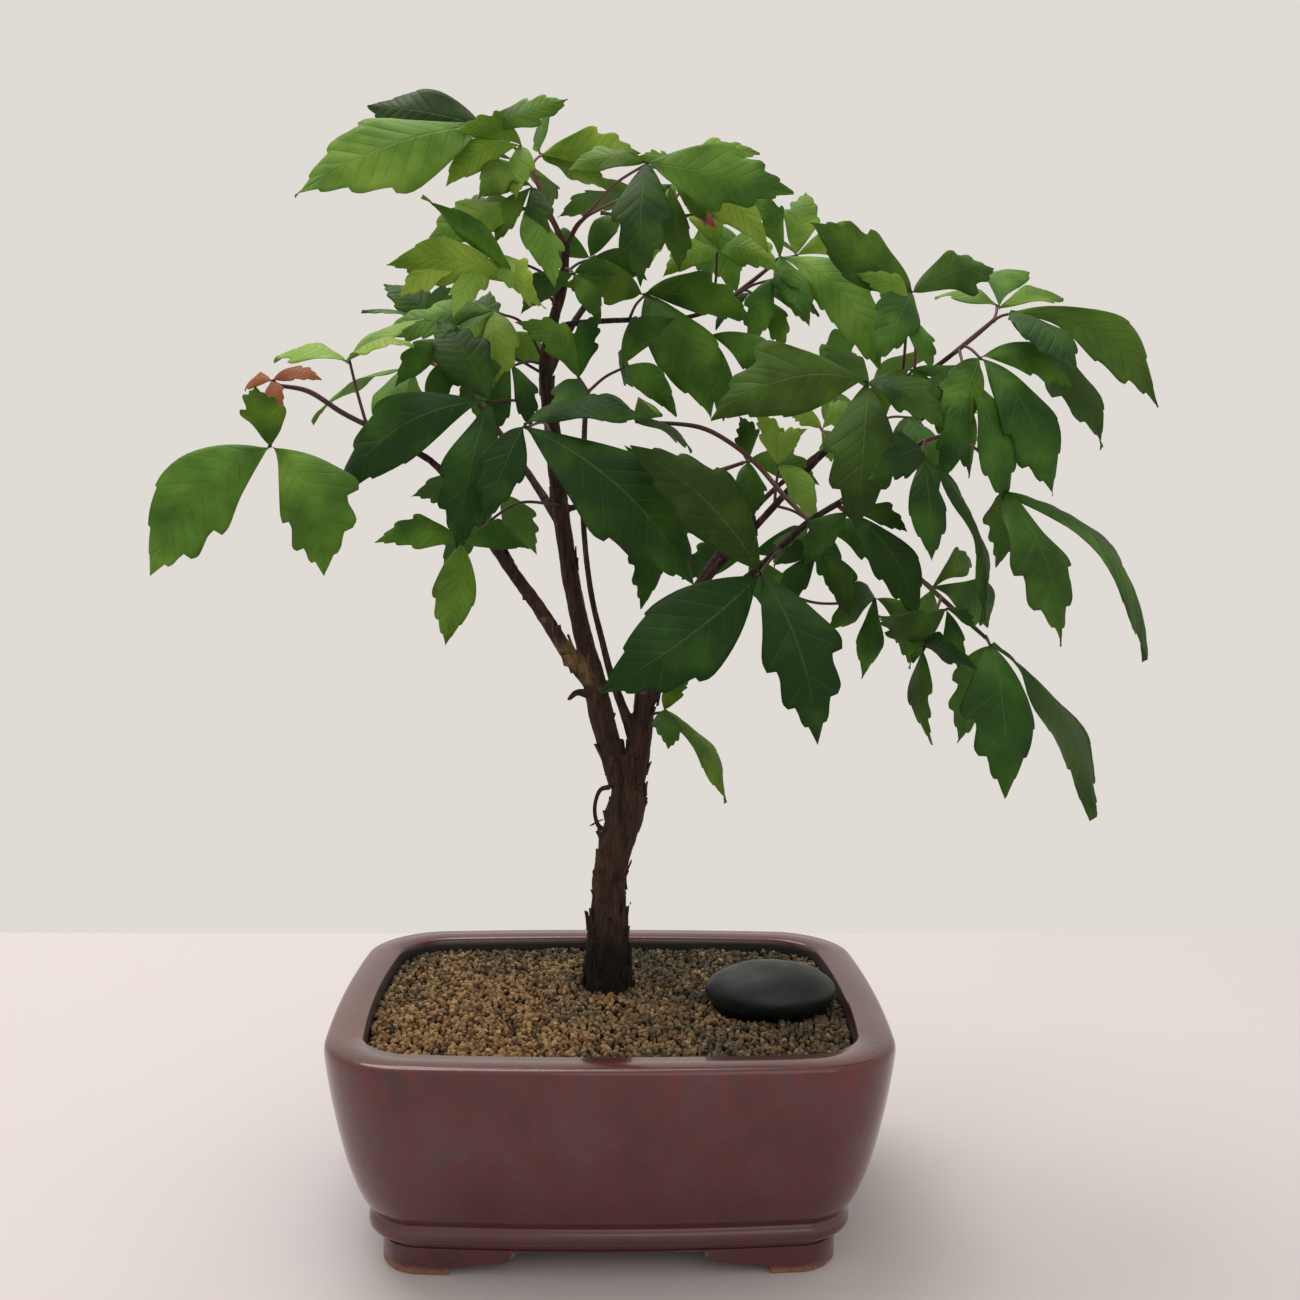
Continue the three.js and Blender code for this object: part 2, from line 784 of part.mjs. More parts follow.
// A flake of bark that has let go of the trunk at one end and curls away from it
function barkFlake({ x, z, angle, length, width, curl }) {
  const geometry = new THREE.BoxGeometry(0.8, width, length, 1, 1, 3);
  const position = geometry.attributes.position;
  for (let i = 0; i < position.count; i++) {
    const share = position.getZ(i) / length + 0.5;
    position.setX(i, position.getX(i) + curl * share * share);
  }
  geometry.translate(0, 0, length / 2);
  geometry.rotateZ((angle * Math.PI) / 180);
  return solid(geometry.translate(x, TRUNK_PLANE, z));
}

// Flakes on the trunk: [centre x, z, reach from the centre, direction in degrees, length, width, curl]
const FLAKES = [
  [-0.5, 98, 7.4, 178, 10, 4.5, 2.4],
  [-0.6, 104, 7.0, 2, 9, 5, 1.8],
  [-0.8, 118, 5.8, 200, 8, 4, 1.6],
  [0.4, 126, 5.8, 250, 9, 4.5, 1.8],
  [2.2, 134, 6.4, 185, 12, 3.5, 2.6],
  [5, 146, 6.8, -4, 7, 5, 2.2],
  [5.4, 150, 6.6, 300, 9, 4.5, 1.8],
  [-0.9, 90, 8.2, 120, 11, 5, 2.2],
];

const barkFlakes = () =>
  FLAKES.map(([x, z, reach, angle, length, width, curl]) => {
    const turn = (angle * Math.PI) / 180;
    const flake = barkFlake({ x: x + reach * Math.cos(turn), z, angle, length, width, curl });
    return flake.translate([0, reach * Math.sin(turn), 0]);
  });

function woodSolid() {
  const limbs = Object.values(LIMBS).map((plan) => limb(plan));
  return mainPiece(fuse([...limbs, ...barkFlakes()]));
}

// The space that the wood takes with its clearance, which is cut from what stands against it
function woodSleeve() {
  const limbs = Object.values(LIMBS).map((one) => limb(one, GAP));
  return fuse([...limbs, ...barkFlakes(), limb(LIMBS.trunk, GAP).translate([0, 0, -GAP])]);
}

// A leaflet in shares of its length: rib points along it, and one half of its margin as [along, out]
const RIB = [0.38, 0.68];
const MARGIN = [
  [0.47, 0.24],
  [0.56, 0.18],
  [0.78, 0.165],
];

// How full the half of a leaflet that faces its neighbour can be before the two would meet
function roomBetween(hub, one, other) {
  const angle = one.clone().sub(hub).angleTo(other.clone().sub(hub));
  const [along, out] = MARGIN[0];
  return Math.min(BLADE.inner, (BLADE.clear * along * Math.tan(Math.min(angle, 2) / 2)) / out);
}

// A point on a leaflet's rib, which arches over the straight line from hub to tip
function ribPoint(hub, tip, up, share) {
  const chord = tip.clone().sub(hub);
  const rise = BLADE.arch * chord.length() * 4 * share * (1 - share);
  return hub.clone().addScaledVector(chord, share).addScaledVector(up, rise);
}

// The way a leaflet faces: square on its chord, as near as can be to the way of the leaf, and then twisted
function leafletUp(hub, tip, facing, twist = 0) {
  const ahead = tip.clone().sub(hub).normalize();
  return facing.clone().projectOnPlane(ahead).normalize().applyAxisAngle(ahead, (twist * Math.PI) / 180);
}

// One leaflet's places: its rib points, the margin on each side with its own fullness, and its tip
function leafletPlaces(hub, tip, up, fullness) {
  const chord = tip.clone().sub(hub);
  const length = chord.length();
  const right = chord.clone().cross(up).normalize();
  const rib = (share) => ribPoint(hub, tip, up, share);
  const margin = (side, share) =>
    MARGIN.map(([along, out]) =>
      rib(along)
        .addScaledVector(right, side * out * share * length)
        .addScaledVector(up, -out * length * BLADE.fold),
    );
  return { up, ribs: RIB.map(rib), right: margin(1, fullness[0]), left: margin(-1, fullness[1]), tip };
}

// The order of the tips from right to left, starting past the widest gap between two leaflets
function rightToLeft(hub, tips, facing) {
  const ahead = tips[0].clone().sub(hub).projectOnPlane(facing).normalize();
  const left = facing.clone().cross(ahead);
  const turns = tips.map((tip, number) => {
    const reach = tip.clone().sub(hub);
    return { number, turn: Math.atan2(reach.dot(left), reach.dot(ahead)) };
  });
  turns.sort((a, b) => a.turn - b.turn);
  const gaps = turns.map(({ turn }, k) => (turn - turns.at(k - 1).turn + 2 * Math.PI) % (2 * Math.PI));
  const start = gaps.indexOf(Math.max(...gaps));
  return [0, 1, 2].map((k) => turns[(start + k) % 3].number);
}

// A leaf of three leaflets cut nearly to the hub in one thin arched blade
function leafBlade(leaf) {
  const hub = seen(leaf.hub);
  const tips = leaf.tips.map(seen);
  const facing = facingOf(tips);
  const numbers = rightToLeft(hub, tips, facing);
  const order = numbers.map((number) => tips[number]);
  const places = [{ point: hub, up: facing }];
  const keep = (point, up) => places.push({ point, up }) - 1;
  const sinuses = [0, 1].map((k) => {
    const between = order[k].clone().add(order[k + 1]).multiplyScalar(0.5);
    return keep(hub.clone().lerp(between, BLADE.sinus), facing);
  });
  const [rightRoom, leftRoom] = [0, 1].map((k) => roomBetween(hub, order[k], order[k + 1]));
  const fullness = [
    [BLADE.outer, rightRoom],
    [rightRoom, leftRoom],
    [leftRoom, BLADE.outer],
  ];
  const faces = [];
  const rim = [0];
  order.forEach((tip, k) => {
    const [, , , twist] = leaf.tips[numbers[k]];
    const leaflet = leafletPlaces(hub, tip, leafletUp(hub, tip, facing, twist), fullness[k]);
    const at = (point) => keep(point, leaflet.up);
    const [rib0, rib1] = leaflet.ribs.map(at);
    const right = leaflet.right.map(at);
    const left = leaflet.left.map(at);
    const end = at(leaflet.tip);
    const [baseRight, baseLeft] = [k === 0 ? 0 : sinuses[k - 1], k === 2 ? 0 : sinuses[k]];
    if (baseRight) faces.push([0, baseRight, rib0]);
    if (baseLeft) faces.push([0, rib0, baseLeft]);
    faces.push([baseRight, right[0], rib0], [baseLeft, rib0, left[0]]);
    faces.push([rib0, right[0], right[1]], [rib0, right[1], rib1]);
    faces.push([rib1, right[1], right[2]], [rib1, right[2], end]);
    faces.push([rib0, left[1], left[0]], [rib0, rib1, left[1]]);
    faces.push([rib1, left[2], left[1]], [rib1, end, left[2]]);
    rim.push(...right, end, ...left.reverse());
    if (baseLeft) rim.push(baseLeft);
  });
  return thickened(places, faces, rim);
}

// A closed body from a sheet: the same triangles on both faces, and a wall round the rim
function thickened(places, faces, rim) {
  const count = places.length;
  const lifted = (share) =>
    places.map(({ point, up }) => point.clone().addScaledVector(up, share * BLADE.thick));
  const indices = faces.flatMap(([a, b, c]) => [a, b, c, a + count, c + count, b + count]);
  rim.forEach((a, k) => {
    const b = rim[(k + 1) % rim.length];
    indices.push(a, a + count, b + count, a, b + count, b);
  });
  const geometry = new THREE.BufferGeometry().setFromPoints([...lifted(0.5), ...lifted(-0.5)]);
  geometry.setIndex(indices);
  return solid(geometry);
}

// The way a leaf faces: square to the plane of its three tips, on the side that looks up and to the front
function facingOf(tips) {
  const normal = tips[1].clone().sub(tips[0]).cross(tips[2].clone().sub(tips[0])).normalize();
  return normal.dot(new THREE.Vector3(0, -0.5, 1)) < 0 ? normal.negate() : normal;
}

// A leaf's stalk, which narrows at its end to run a little way into the blade
function stalk({ from, via, hub, tips }, extra = 0) {
  const [start, end] = [from, hub].map(seen);
  const middle = via ? seen(via) : start.clone().lerp(end, 0.5);
  if (!via) middle.z += PETIOLE.sag * start.distanceTo(end);
  const places = tips.map(seen);
  const up = leafletUp(end, places[0], facingOf(places), tips[0][3]);
  const rib = ribPoint(end, places[0], up, RIB[0]).sub(end).setLength(PETIOLE.sunk);
  const radii = [PETIOLE.radius, PETIOLE.radius, PETIOLE.end].map((radius) => radius + extra);
  return bent([start, middle, end.add(rib)], radii, PETIOLE);
}

// A spray's woody part: its stem and the stalks of its leaves
function stems({ stem, leaves }, extra = 0) {
  const parts = leaves.map((leaf) => stalk(leaf, extra));
  if (stem) {
    const radii = stem.map(() => STEM.radius + extra);
    parts.push(bent(stem.map(seen), radii, { sides: STEM.sides, steps: 2 * (stem.length - 1) }));
  }
  return fuse(parts);
}

function spraySolid(spray, sleeve) {
  const woody = mainPiece(stems(spray).subtract(sleeve));
  const blades = spray.leaves.map(leafBlade);
  return fuse([woody, ...blades]);
}

function pebbleSolid(extra = 0) {
  const geometry = new THREE.SphereGeometry(1, 16, 9).rotateX(Math.PI / 2);
  const { length, width, height, x, y, z, turn } = PEBBLE;
  geometry.scale(length / 2 + extra, width / 2 + extra, height / 2 + extra);
  return solid(geometry.rotateZ((turn * Math.PI) / 180).translate(x, y, z));
}

// The soil's surface: a low mound with a bumpy top of grit, a little higher at the back
function soilHeight(x, y) {
  const away = Math.hypot((2 * x) / POT.width, (2 * y) / POT.depth);
  const mound = (SOIL.crown - SOIL.edge) * Math.max(0, 1 - away);
  const bumps = Math.sin(x * 0.41 + 1.3 * Math.sin(y * 0.37)) * Math.sin(y * 0.47 + x * 0.13);
  return SOIL.edge + mound + SOIL.slope * y + SOIL.bump * bumps;
}

function soilSolid(sleeve) {
  const wall = INSIDE.toReversed().map(([inset, z]) => [inset + GAP, Math.max(z, FLOOR.top + GAP)]);
  const profile = [[...wall[0], 0], ...wall];
  for (let k = 0; k <= SOIL.rings; k++) profile.push([POT.rim + GAP, SOIL.edge, 1 - k / SOIL.rings]);
  const surface = ringBody(profile);
  const position = surface.attributes.position;
  for (let i = 0; i < position.count; i++) {
    if (position.getZ(i) < SOIL.edge) continue;
    position.setZ(i, soilHeight(position.getX(i), position.getY(i)));
  }
  const body = solid(surface);
  const screens = [-1, 1].map((side) =>
    box(DRAIN.screen + 2 * GAP, DRAIN.screen + 2 * GAP, 2 * (DRAIN.thick + 2 * GAP), FLOOR.top).translate([
      side * DRAIN.x,
      0,
      0,
    ]),
  );
  return mainPiece(body.subtract(sleeve).subtract(pebbleSolid(GAP)).subtract(fuse(screens)));
}

// Assembly
const bonsai = new THREE.Group();
bonsai.name = "paperbark_maple_bonsai";

function place(name, geometry, finish) {
  const mesh = new THREE.Mesh(geometry, new THREE.MeshStandardMaterial(finish));
  mesh.name = name;
  bonsai.add(mesh);
  return mesh;
}

const sleeve = woodSleeve();
place("pot", geometryOf(potSolid()), FINISH.glaze);
place("drain_screen_left", geometryOf(screenSolid(-1)), FINISH.screen);
place("drain_screen_right", geometryOf(screenSolid(1)), FINISH.screen);
place("soil", geometryOf(soilSolid(sleeve)), FINISH.soil);
place("pebble", geometryOf(pebbleSolid()), FINISH.pebble);
place("wood", geometryOf(woodSolid()), FINISH.bark);
for (const [name, spray] of Object.entries(SPRAYS))
  place(name, geometryOf(spraySolid(spray, sleeve)), FINISH.leaf);
for (const [name, spray] of Object.entries(YOUNG))
  place(name, geometryOf(spraySolid(spray, sleeve.add(stems(SPRAYS[spray.on], GAP)))), FINISH.youngLeaf);

// The part's origin is at the middle of its base, so the whole is moved over it
const bounds = new THREE.Box3().setFromObject(bonsai);
const middle = bounds.getCenter(new THREE.Vector3());
for (const mesh of bonsai.children) mesh.position.set(-middle.x, -middle.y, 0);

export default bonsai;
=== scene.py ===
"""A paperbark maple bonsai in its glazed pot: the looks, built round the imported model.

Lengths are in millimetres until a mesh is made, and every mesh is in metres.
"""

import logging
import math
import random
from collections.abc import Callable, Iterable, Sequence
from dataclasses import dataclass
from enum import Enum

import bmesh
import bpy
import numpy as np
from bpy.types import Material, Mesh, Node, NodeSocket, Object
from mathutils import Matrix, Vector, noise
from mathutils.kdtree import KDTree


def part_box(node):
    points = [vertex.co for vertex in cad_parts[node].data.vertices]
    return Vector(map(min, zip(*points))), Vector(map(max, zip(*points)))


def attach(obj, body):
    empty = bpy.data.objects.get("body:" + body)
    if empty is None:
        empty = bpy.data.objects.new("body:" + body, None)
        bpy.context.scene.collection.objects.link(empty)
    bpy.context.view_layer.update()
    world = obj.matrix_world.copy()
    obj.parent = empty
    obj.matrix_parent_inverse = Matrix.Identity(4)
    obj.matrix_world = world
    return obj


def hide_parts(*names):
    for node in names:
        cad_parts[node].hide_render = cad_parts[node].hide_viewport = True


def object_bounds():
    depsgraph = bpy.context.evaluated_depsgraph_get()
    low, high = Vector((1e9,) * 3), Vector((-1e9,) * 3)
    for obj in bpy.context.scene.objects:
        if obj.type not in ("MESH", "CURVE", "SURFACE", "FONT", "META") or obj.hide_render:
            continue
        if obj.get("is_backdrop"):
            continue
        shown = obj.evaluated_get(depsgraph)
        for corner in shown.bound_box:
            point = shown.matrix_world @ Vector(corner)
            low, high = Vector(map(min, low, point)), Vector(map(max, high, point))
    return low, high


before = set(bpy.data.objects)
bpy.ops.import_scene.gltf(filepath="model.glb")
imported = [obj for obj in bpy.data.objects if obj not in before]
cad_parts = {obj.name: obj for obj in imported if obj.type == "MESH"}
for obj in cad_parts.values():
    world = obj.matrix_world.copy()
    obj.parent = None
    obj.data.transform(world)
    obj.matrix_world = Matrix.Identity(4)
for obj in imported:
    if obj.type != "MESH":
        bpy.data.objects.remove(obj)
cad_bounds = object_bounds()
log = logging.getLogger("bonsai")

MM = 0.001
BODY = "root"
EYE = Vector((-4.3, -564, 275))  # where the plan of the tree is drawn from, measured from the pot's middle
TRUNK_PLANE = 20  # depth of the plane through the trunk that the plan is drawn on
Point = tuple[float, ...]
Colour = tuple[float, float, float, float]
Line = list[tuple[Vector, float]]


def pot_middle() -> Vector:
    """Returns the middle of the pot on the table, in millimetres."""
    low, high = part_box("pot")
    return Vector((low.x + high.x, low.y + high.y, 0)) / (2 * MM)


POT_MIDDLE = pot_middle()


def seen(point: Point) -> Vector:
    """Places a plan point of the tree.

    Args:
        point: x and z on the plane through the trunk, as the eye sees them, and the depth y it lies at.

    Returns:
        The point in the frame, in millimetres.
    """
    x, z, y = point[:3]
    reach = (y - EYE.y) / (TRUNK_PLANE - EYE.y)
    return EYE + (Vector((x, TRUNK_PLANE, z)) - EYE) * reach + POT_MIDDLE


def rgb(red: int, green: int, blue: int) -> Colour:
    """Turns a screen colour of 0 to 255 into a linear one.

    Args:
        red: The red share.
        green: The green share.
        blue: The blue share.

    Returns:
        The linear colour with full alpha.
    """
    def linear(value: int) -> float:
        """Returns one share as a linear value."""
        share = value / 255
        return share / 12.92 if share <= 0.04045 else ((share + 0.055) / 1.055) ** 2.4

    return linear(red), linear(green), linear(blue), 1.0


def metres(lengths: Sequence[float]) -> list[float]:
    """Returns lengths in millimetres as metres."""
    return [length * MM for length in lengths]


def curve_point(points: Sequence[Vector], at: float) -> Vector:
    """Finds a point on the smooth curve through some points.

    Args:
        points: What the curve goes through.
        at: Where on the curve, counted in points.

    Returns:
        The point there.
    """
    k = min(int(at), len(points) - 2)
    one, two = points[k], points[k + 1]
    before = points[k - 1] if k else one * 2 - two
    after = points[k + 2] if k + 2 < len(points) else two * 2 - one
    steps = ((before, one), (one, two), (two, after))
    first, middle, last = (max((b - a).length ** 0.5, 1e-3) for a, b in steps)
    leave = ((one - before) / first - (two - before) / (first + middle) + (two - one) / middle) * middle
    arrive = ((two - one) / middle - (after - one) / (middle + last) + (after - two) / last) * middle
    share = at - k
    return (
        one
        + leave * share
        + (one * -3 + two * 3 - leave * 2 - arrive) * share**2
        + (one * 2 - two * 2 + leave + arrive) * share**3
    )


def stations(points: Sequence[Vector], radii: Sequence[float], spacing: float) -> Line:
    """Walks along the curve through some points.

    Args:
        points: What the curve goes through.
        radii: The radius at each point.
        spacing: The length of a step.

    Returns:
        A place and a radius for each step.
    """
    places = []
    for k, (one, two) in enumerate(zip(points, points[1:])):
        steps = max(1, round((two - one).length / spacing))
        for i in range(steps + (k == len(points) - 2)):
            share = i / steps
            places.append((curve_point(points, k + share), radii[k] * (1 - share) + radii[k + 1] * share))
    return places


def placed(name: str, data: bpy.types.ID) -> Object:
    """Returns a new object in the scene that shows some data."""
    made = bpy.data.objects.new(name, data)
    bpy.context.scene.collection.objects.link(made)
    return made


def dress(mesh: Mesh, material: Material) -> None:
    """Gives a mesh one material in place of all others."""
    mesh.materials.clear()
    mesh.materials.append(material)


def mesh_object(
    name: str, points: Iterable[Sequence[float]], faces: Iterable[Sequence[int]], *materials: Material
) -> Object:
    """Makes an object at the origin from points in millimetres.

    Args:
        name: The object's name.
        points: The vertices.
        faces: The faces, as vertex numbers.
        *materials: The materials of its slots.

    Returns:
        The object, in the scene.
    """
    mesh = bpy.data.meshes.new(name)
    mesh.from_pydata([metres(p) for p in points], [], list(faces))
    for material in materials:
        mesh.materials.append(material)
    return placed(name, mesh)


def reshape(made: Object, change: Callable[[bmesh.types.BMesh], None]) -> Object:
    """Changes an object's mesh in edit form.

    Args:
        made: The object.
        change: What is done to its mesh.

    Returns:
        The same object.
    """
    form = bmesh.new()
    form.from_mesh(made.data)
    change(form)
    form.to_mesh(made.data)
    form.free()
    return made


def smoothed(made: Object, limit: float = 180.0) -> Object:
    """Shades an object smooth, apart from its creases.

    Args:
        made: The object.
        limit: The angle in degrees from which an edge stays a crease.

    Returns:
        The same object.
    """
    def mark(form: bmesh.types.BMesh) -> None:
        """Marks smooth faces and sharp edges."""
        for face in form.faces:
            face.smooth = True
        for edge in form.edges:
            edge.smooth = edge.calc_face_angle(0.0) < math.radians(limit)

    return reshape(made, mark)


def baked(made: Object, modifier: bpy.types.Modifier) -> Mesh:
    """Returns the plain mesh that a modifier makes of an object, and removes the modifier."""
    shown = made.evaluated_get(bpy.context.evaluated_depsgraph_get())
    mesh = bpy.data.meshes.new_from_object(shown)
    made.modifiers.remove(modifier)
    return mesh


def modified(made: Object, kind: str, **settings: object) -> None:
    """Adds a modifier, applies it and leaves a plain mesh.

    Args:
        made: The object.
        kind: The modifier's type.
        **settings: The modifier's settings.
    """
    modifier = made.modifiers.new(kind.lower(), kind)
    for key, value in settings.items():
        setattr(modifier, key, value)
    old, made.data = made.data, baked(made, modifier)
    bpy.data.meshes.remove(old)
    made.data.name = made.name


def combined(made: Object, operation: str, tool: Object) -> None:
    """Adds a closed tool to an object or cuts it out, as the operation says, and uses the tool up."""
    modified(made, "BOOLEAN", operation=operation, object=tool, solver="EXACT")
    discard(tool)


def joined(name: str, parts: Sequence[Object]) -> Object:
    """Joins objects into the first of them.

    Args:
        name: The name of the whole.
        parts: The objects.

    Returns:
        The joined object.
    """
    with bpy.context.temp_override(
        active_object=parts[0], object=parts[0], selected_objects=parts, selected_editable_objects=parts
    ):
        bpy.ops.object.join()
    parts[0].name = parts[0].data.name = name
    return parts[0]


def discard(made: Object) -> None:
    """Takes a helper object out of the scene."""
    bpy.data.objects.remove(made, do_unlink=True)


def settle(piece: Object, slot: str, *nodes: str) -> None:
    """Gives a finished piece its body, hides the nodes that it stands for and logs its faces.

    Args:
        piece: The finished piece.
        slot: Not used.
        *nodes: The nodes that it replaces.
    """
    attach(piece, BODY)
    if nodes:
        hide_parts(*nodes)
    log.info("%s: %d faces", piece.name, len(piece.data.polygons))


class Graph:
    """A node tree that short calls fill in."""

    def __init__(self, tree: bpy.types.NodeTree) -> None:
        """Starts on an empty tree."""
        self.tree = tree
        tree.nodes.clear()

    def add(self, kind: str, inputs: dict[str | int, object] | None = None, **settings: object) -> Node:
        """Adds a node.

        Args:
            kind: The node's type.
            inputs: A value or a socket to link for each input, by name or number.
            **settings: The node's own settings.

        Returns:
            The node.
        """
        node = self.tree.nodes.new(kind)
        for key, value in settings.items():
            setattr(node, key, value)
        for key, value in (inputs or {}).items():
            if isinstance(value, NodeSocket):
                self.tree.links.new(value, node.inputs[key])
            else:
                node.inputs[key].default_value = value
        return node

    def maths(self, operation: str, *values: object) -> NodeSocket:
        """Returns the result of a calculation on numbers or sockets."""
        return self.add("ShaderNodeMath", dict(enumerate(values)), operation=operation).outputs[0]

    def times(self, one: object, two: object) -> NodeSocket:
        """Returns one number times another."""
        return self.maths("MULTIPLY", one, two)

    def range(self, value: object, low: float, high: float, start: float = 0, end: float = 1) -> NodeSocket:
        """Returns a value clamped between low and high and moved to the range from start to end."""
        inputs = {"Value": value, "From Min": low, "From Max": high, "To Min": start, "To Max": end}
        return self.add("ShaderNodeMapRange", inputs).outputs["Result"]


class Surface(Graph):
    """The node tree of a material with one Principled surface."""

    def __init__(self, name: str) -> None:
        """Makes the material.

        Args:
            name: The material's name.
        """
        self.material = bpy.data.materials.new(name)
        self.material.use_nodes = True
        super().__init__(self.material.node_tree)
        self.out = self.add("ShaderNodeOutputMaterial")
        self.place = self.add("ShaderNodeTexCoord").outputs["Object"]

    def stretched(self, scale: Point) -> NodeSocket:
        """Returns the object's coordinates with a stretch along each axis."""
        return self.add("ShaderNodeMapping", {"Vector": self.place, "Scale": scale}).outputs[0]

    def grain(self, size: float, detail: float = 3, place: object = None, **inputs: float) -> NodeSocket:
        """Adds a noise.

        Args:
            size: The size of its features in millimetres.
            detail: How many finer layers it has.
            place: The coordinates to read, or None for the object's own.
            **inputs: Further inputs of the node.

        Returns:
            The socket of the noise's value.
        """
        values = {"Vector": place or self.place, "Scale": 1 / (size * MM), "Detail": detail}
        values |= {key.capitalize(): value for key, value in inputs.items()}
        return self.add("ShaderNodeTexNoise", values).outputs["Fac"]

    def attribute(self, name: str) -> NodeSocket:
        """Returns the value of the mesh's own attribute."""
        return self.add("ShaderNodeAttribute", attribute_name=name).outputs["Fac"]

    def ramp(self, value: object, *stops: tuple[float, Colour]) -> NodeSocket:
        """Adds a colour ramp.

        Args:
            value: The socket that picks the colour.
            *stops: Each position and its colour.

        Returns:
            The colour's socket.
        """
        node = self.add("ShaderNodeValToRGB", {"Fac": value})
        marks = node.color_ramp.elements
        while len(marks) < len(stops):
            marks.new(1.0)
        for mark, (position, colour) in zip(marks, stops):
            mark.position, mark.color = position, colour
        return node.outputs["Color"]

    def mix(self, share: object, one: object, two: object) -> NodeSocket:
        """Returns a mix of two colours, with that share of the second."""
        return self.add("ShaderNodeMix", {0: share, 6: one, 7: two}, data_type="RGBA").outputs[2]

    def relief(self, height: object, depth: float, strength: float, under: object = None) -> NodeSocket:
        """Turns a height into a bump.

        Args:
            height: The height's socket.
            depth: The depth of the relief in millimetres.
            strength: How strong the bump is.
            under: The normal of a relief below this one.

        Returns:
            The normal's socket.
        """
        values = {"Height": height, "Distance": depth * MM, "Strength": strength}
        if under:
            values["Normal"] = under
        return self.add("ShaderNodeBump", values).outputs["Normal"]

    def finish(self, colour: object, roughness: object, normal: object = None, **inputs: float) -> Node:
        """Adds the Principled surface.

        Args:
            colour: The base colour or its socket.
            roughness: The roughness or its socket.
            normal: The normal's socket, if there is a relief.
            **inputs: Further inputs, with _ for a space.

        Returns:
            The Principled node, linked to the output.
        """
        values = {"Base Color": colour, "Roughness": roughness}
        values |= {key.replace("_", " "): value for key, value in inputs.items()}
        if normal:
            values["Normal"] = normal
        shader = self.add("ShaderNodeBsdfPrincipled", values)
        self.tree.links.new(shader.outputs[0], self.out.inputs["Surface"])
        return shader


class Recipe(Graph):
    """A Geometry Nodes tree with named inputs that turns one object into a plain mesh."""

    def __init__(self, name: str) -> None:
        """Makes the tree with a geometry input and output and a material input.

        Args:
            name: The tree's name.
        """
        super().__init__(bpy.data.node_groups.new(name, "GeometryNodeTree"))
        face = self.tree.interface
        face.new_socket("Geometry", in_out="INPUT", socket_type="NodeSocketGeometry")
        face.new_socket("Geometry", in_out="OUTPUT", socket_type="NodeSocketGeometry")
        self.names: dict[str, str] = {}
        self.entry = self.add("NodeGroupInput")
        self.material = self.size("Finish", "NodeSocketMaterial")
        self.geometry = self.entry.outputs["Geometry"]

    def size(self, name: str, kind: str = "NodeSocketFloat") -> NodeSocket:
        """Adds a named input.

        Args:
            name: The input's name.
            kind: The type of its socket.

        Returns:
            The socket that gives its value inside the tree.
        """
        item = self.tree.interface.new_socket(name, in_out="INPUT", socket_type=kind)
        self.names[name] = item.identifier
        return self.entry.outputs[name]

    def draw(self, low: object, high: object, seed: object, salt: int) -> NodeSocket:
        """Draws a random number, or three if low is a tuple.

        Args:
            low: The least value.
            high: The greatest value.
            seed: The seed's socket.
            salt: A number that tells this draw from the others.

        Returns:
            The socket of the value.
        """
        several = isinstance(low, tuple)
        first = 0 if several else 2
        seeds = self.maths("ADD", seed, salt)
        inputs = {first: low, first + 1: high, "Seed": seeds}
        kind = "FLOAT_VECTOR" if several else "FLOAT"
        return self.add("FunctionNodeRandomValue", inputs, data_type=kind).outputs[0 if several else 1]

    def vector(self, operation: str, *values: object) -> NodeSocket:
        """Returns the result of a calculation on vectors."""
        return self.add("ShaderNodeVectorMath", dict(enumerate(values)), operation=operation).outputs[0]

    def scaled(self, vector: object, by: object) -> NodeSocket:
        """Returns a vector times a number."""
        return self.add("ShaderNodeVectorMath", {0: vector, "Scale": by}, operation="SCALE").outputs[0]

    def close(self, geometry: NodeSocket, smooth: bool) -> None:
        """Ends the tree with real geometry, its shading and its material.

        Args:
            geometry: What the tree has made.
            smooth: Whether it is shaded smooth.
        """
        real = self.add("GeometryNodeRealizeInstances", {"Geometry": geometry}).outputs[0]
        shaded = self.add("GeometryNodeSetShadeSmooth", {"Geometry": real, "Shade Smooth": smooth}).outputs[0]
        dressed = self.add("GeometryNodeSetMaterial", {"Geometry": shaded, "Material": self.material})
        self.add("NodeGroupOutput", {"Geometry": dressed.outputs[0]})

    def cook(self, source: Object, name: str, **sizes: object) -> Object:
        """Applies the tree to an object, which it uses up.

        Args:
            source: The object that the tree reads.
            name: The name of the result.
            **sizes: A value for each input, with _ for a space.

        Returns:
            The result, as a plain mesh at the origin.
        """
        modifier = source.modifiers.new(name, "NODES")
        modifier.node_group = self.tree
        for key, value in sizes.items():
            modifier[self.names[key.replace("_", " ")]] = value
        mesh = baked(source, modifier)
        discard(source)
        mesh.name = name
        return placed(name, mesh)


def outward(made: Object) -> Object:
    """Turns all faces of a closed object outwards."""
    return reshape(made, lambda form: bmesh.ops.recalc_face_normals(form, faces=form.faces))


def block(half_x: float, half_y: float, height: float) -> Object:
    """Builds a box round the pot's middle, astride the table's plane.

    Args:
        half_x: Half its length.
        half_y: Half its width.
        height: How far it reaches up, and down.

    Returns:
        The box.
    """
    corners = [(x, y, z) for z in (-height, height) for x, y in ((-1, -1), (1, -1), (1, 1), (-1, 1))]
    points = [Vector((x * half_x, y * half_y, z)) + POT_MIDDLE for x, y, z in corners]
    faces = [(3, 2, 1, 0), (4, 5, 6, 7)] + [(i, (i + 1) % 4, (i + 1) % 4 + 4, i + 4) for i in range(4)]
    return mesh_object("block", points, faces)


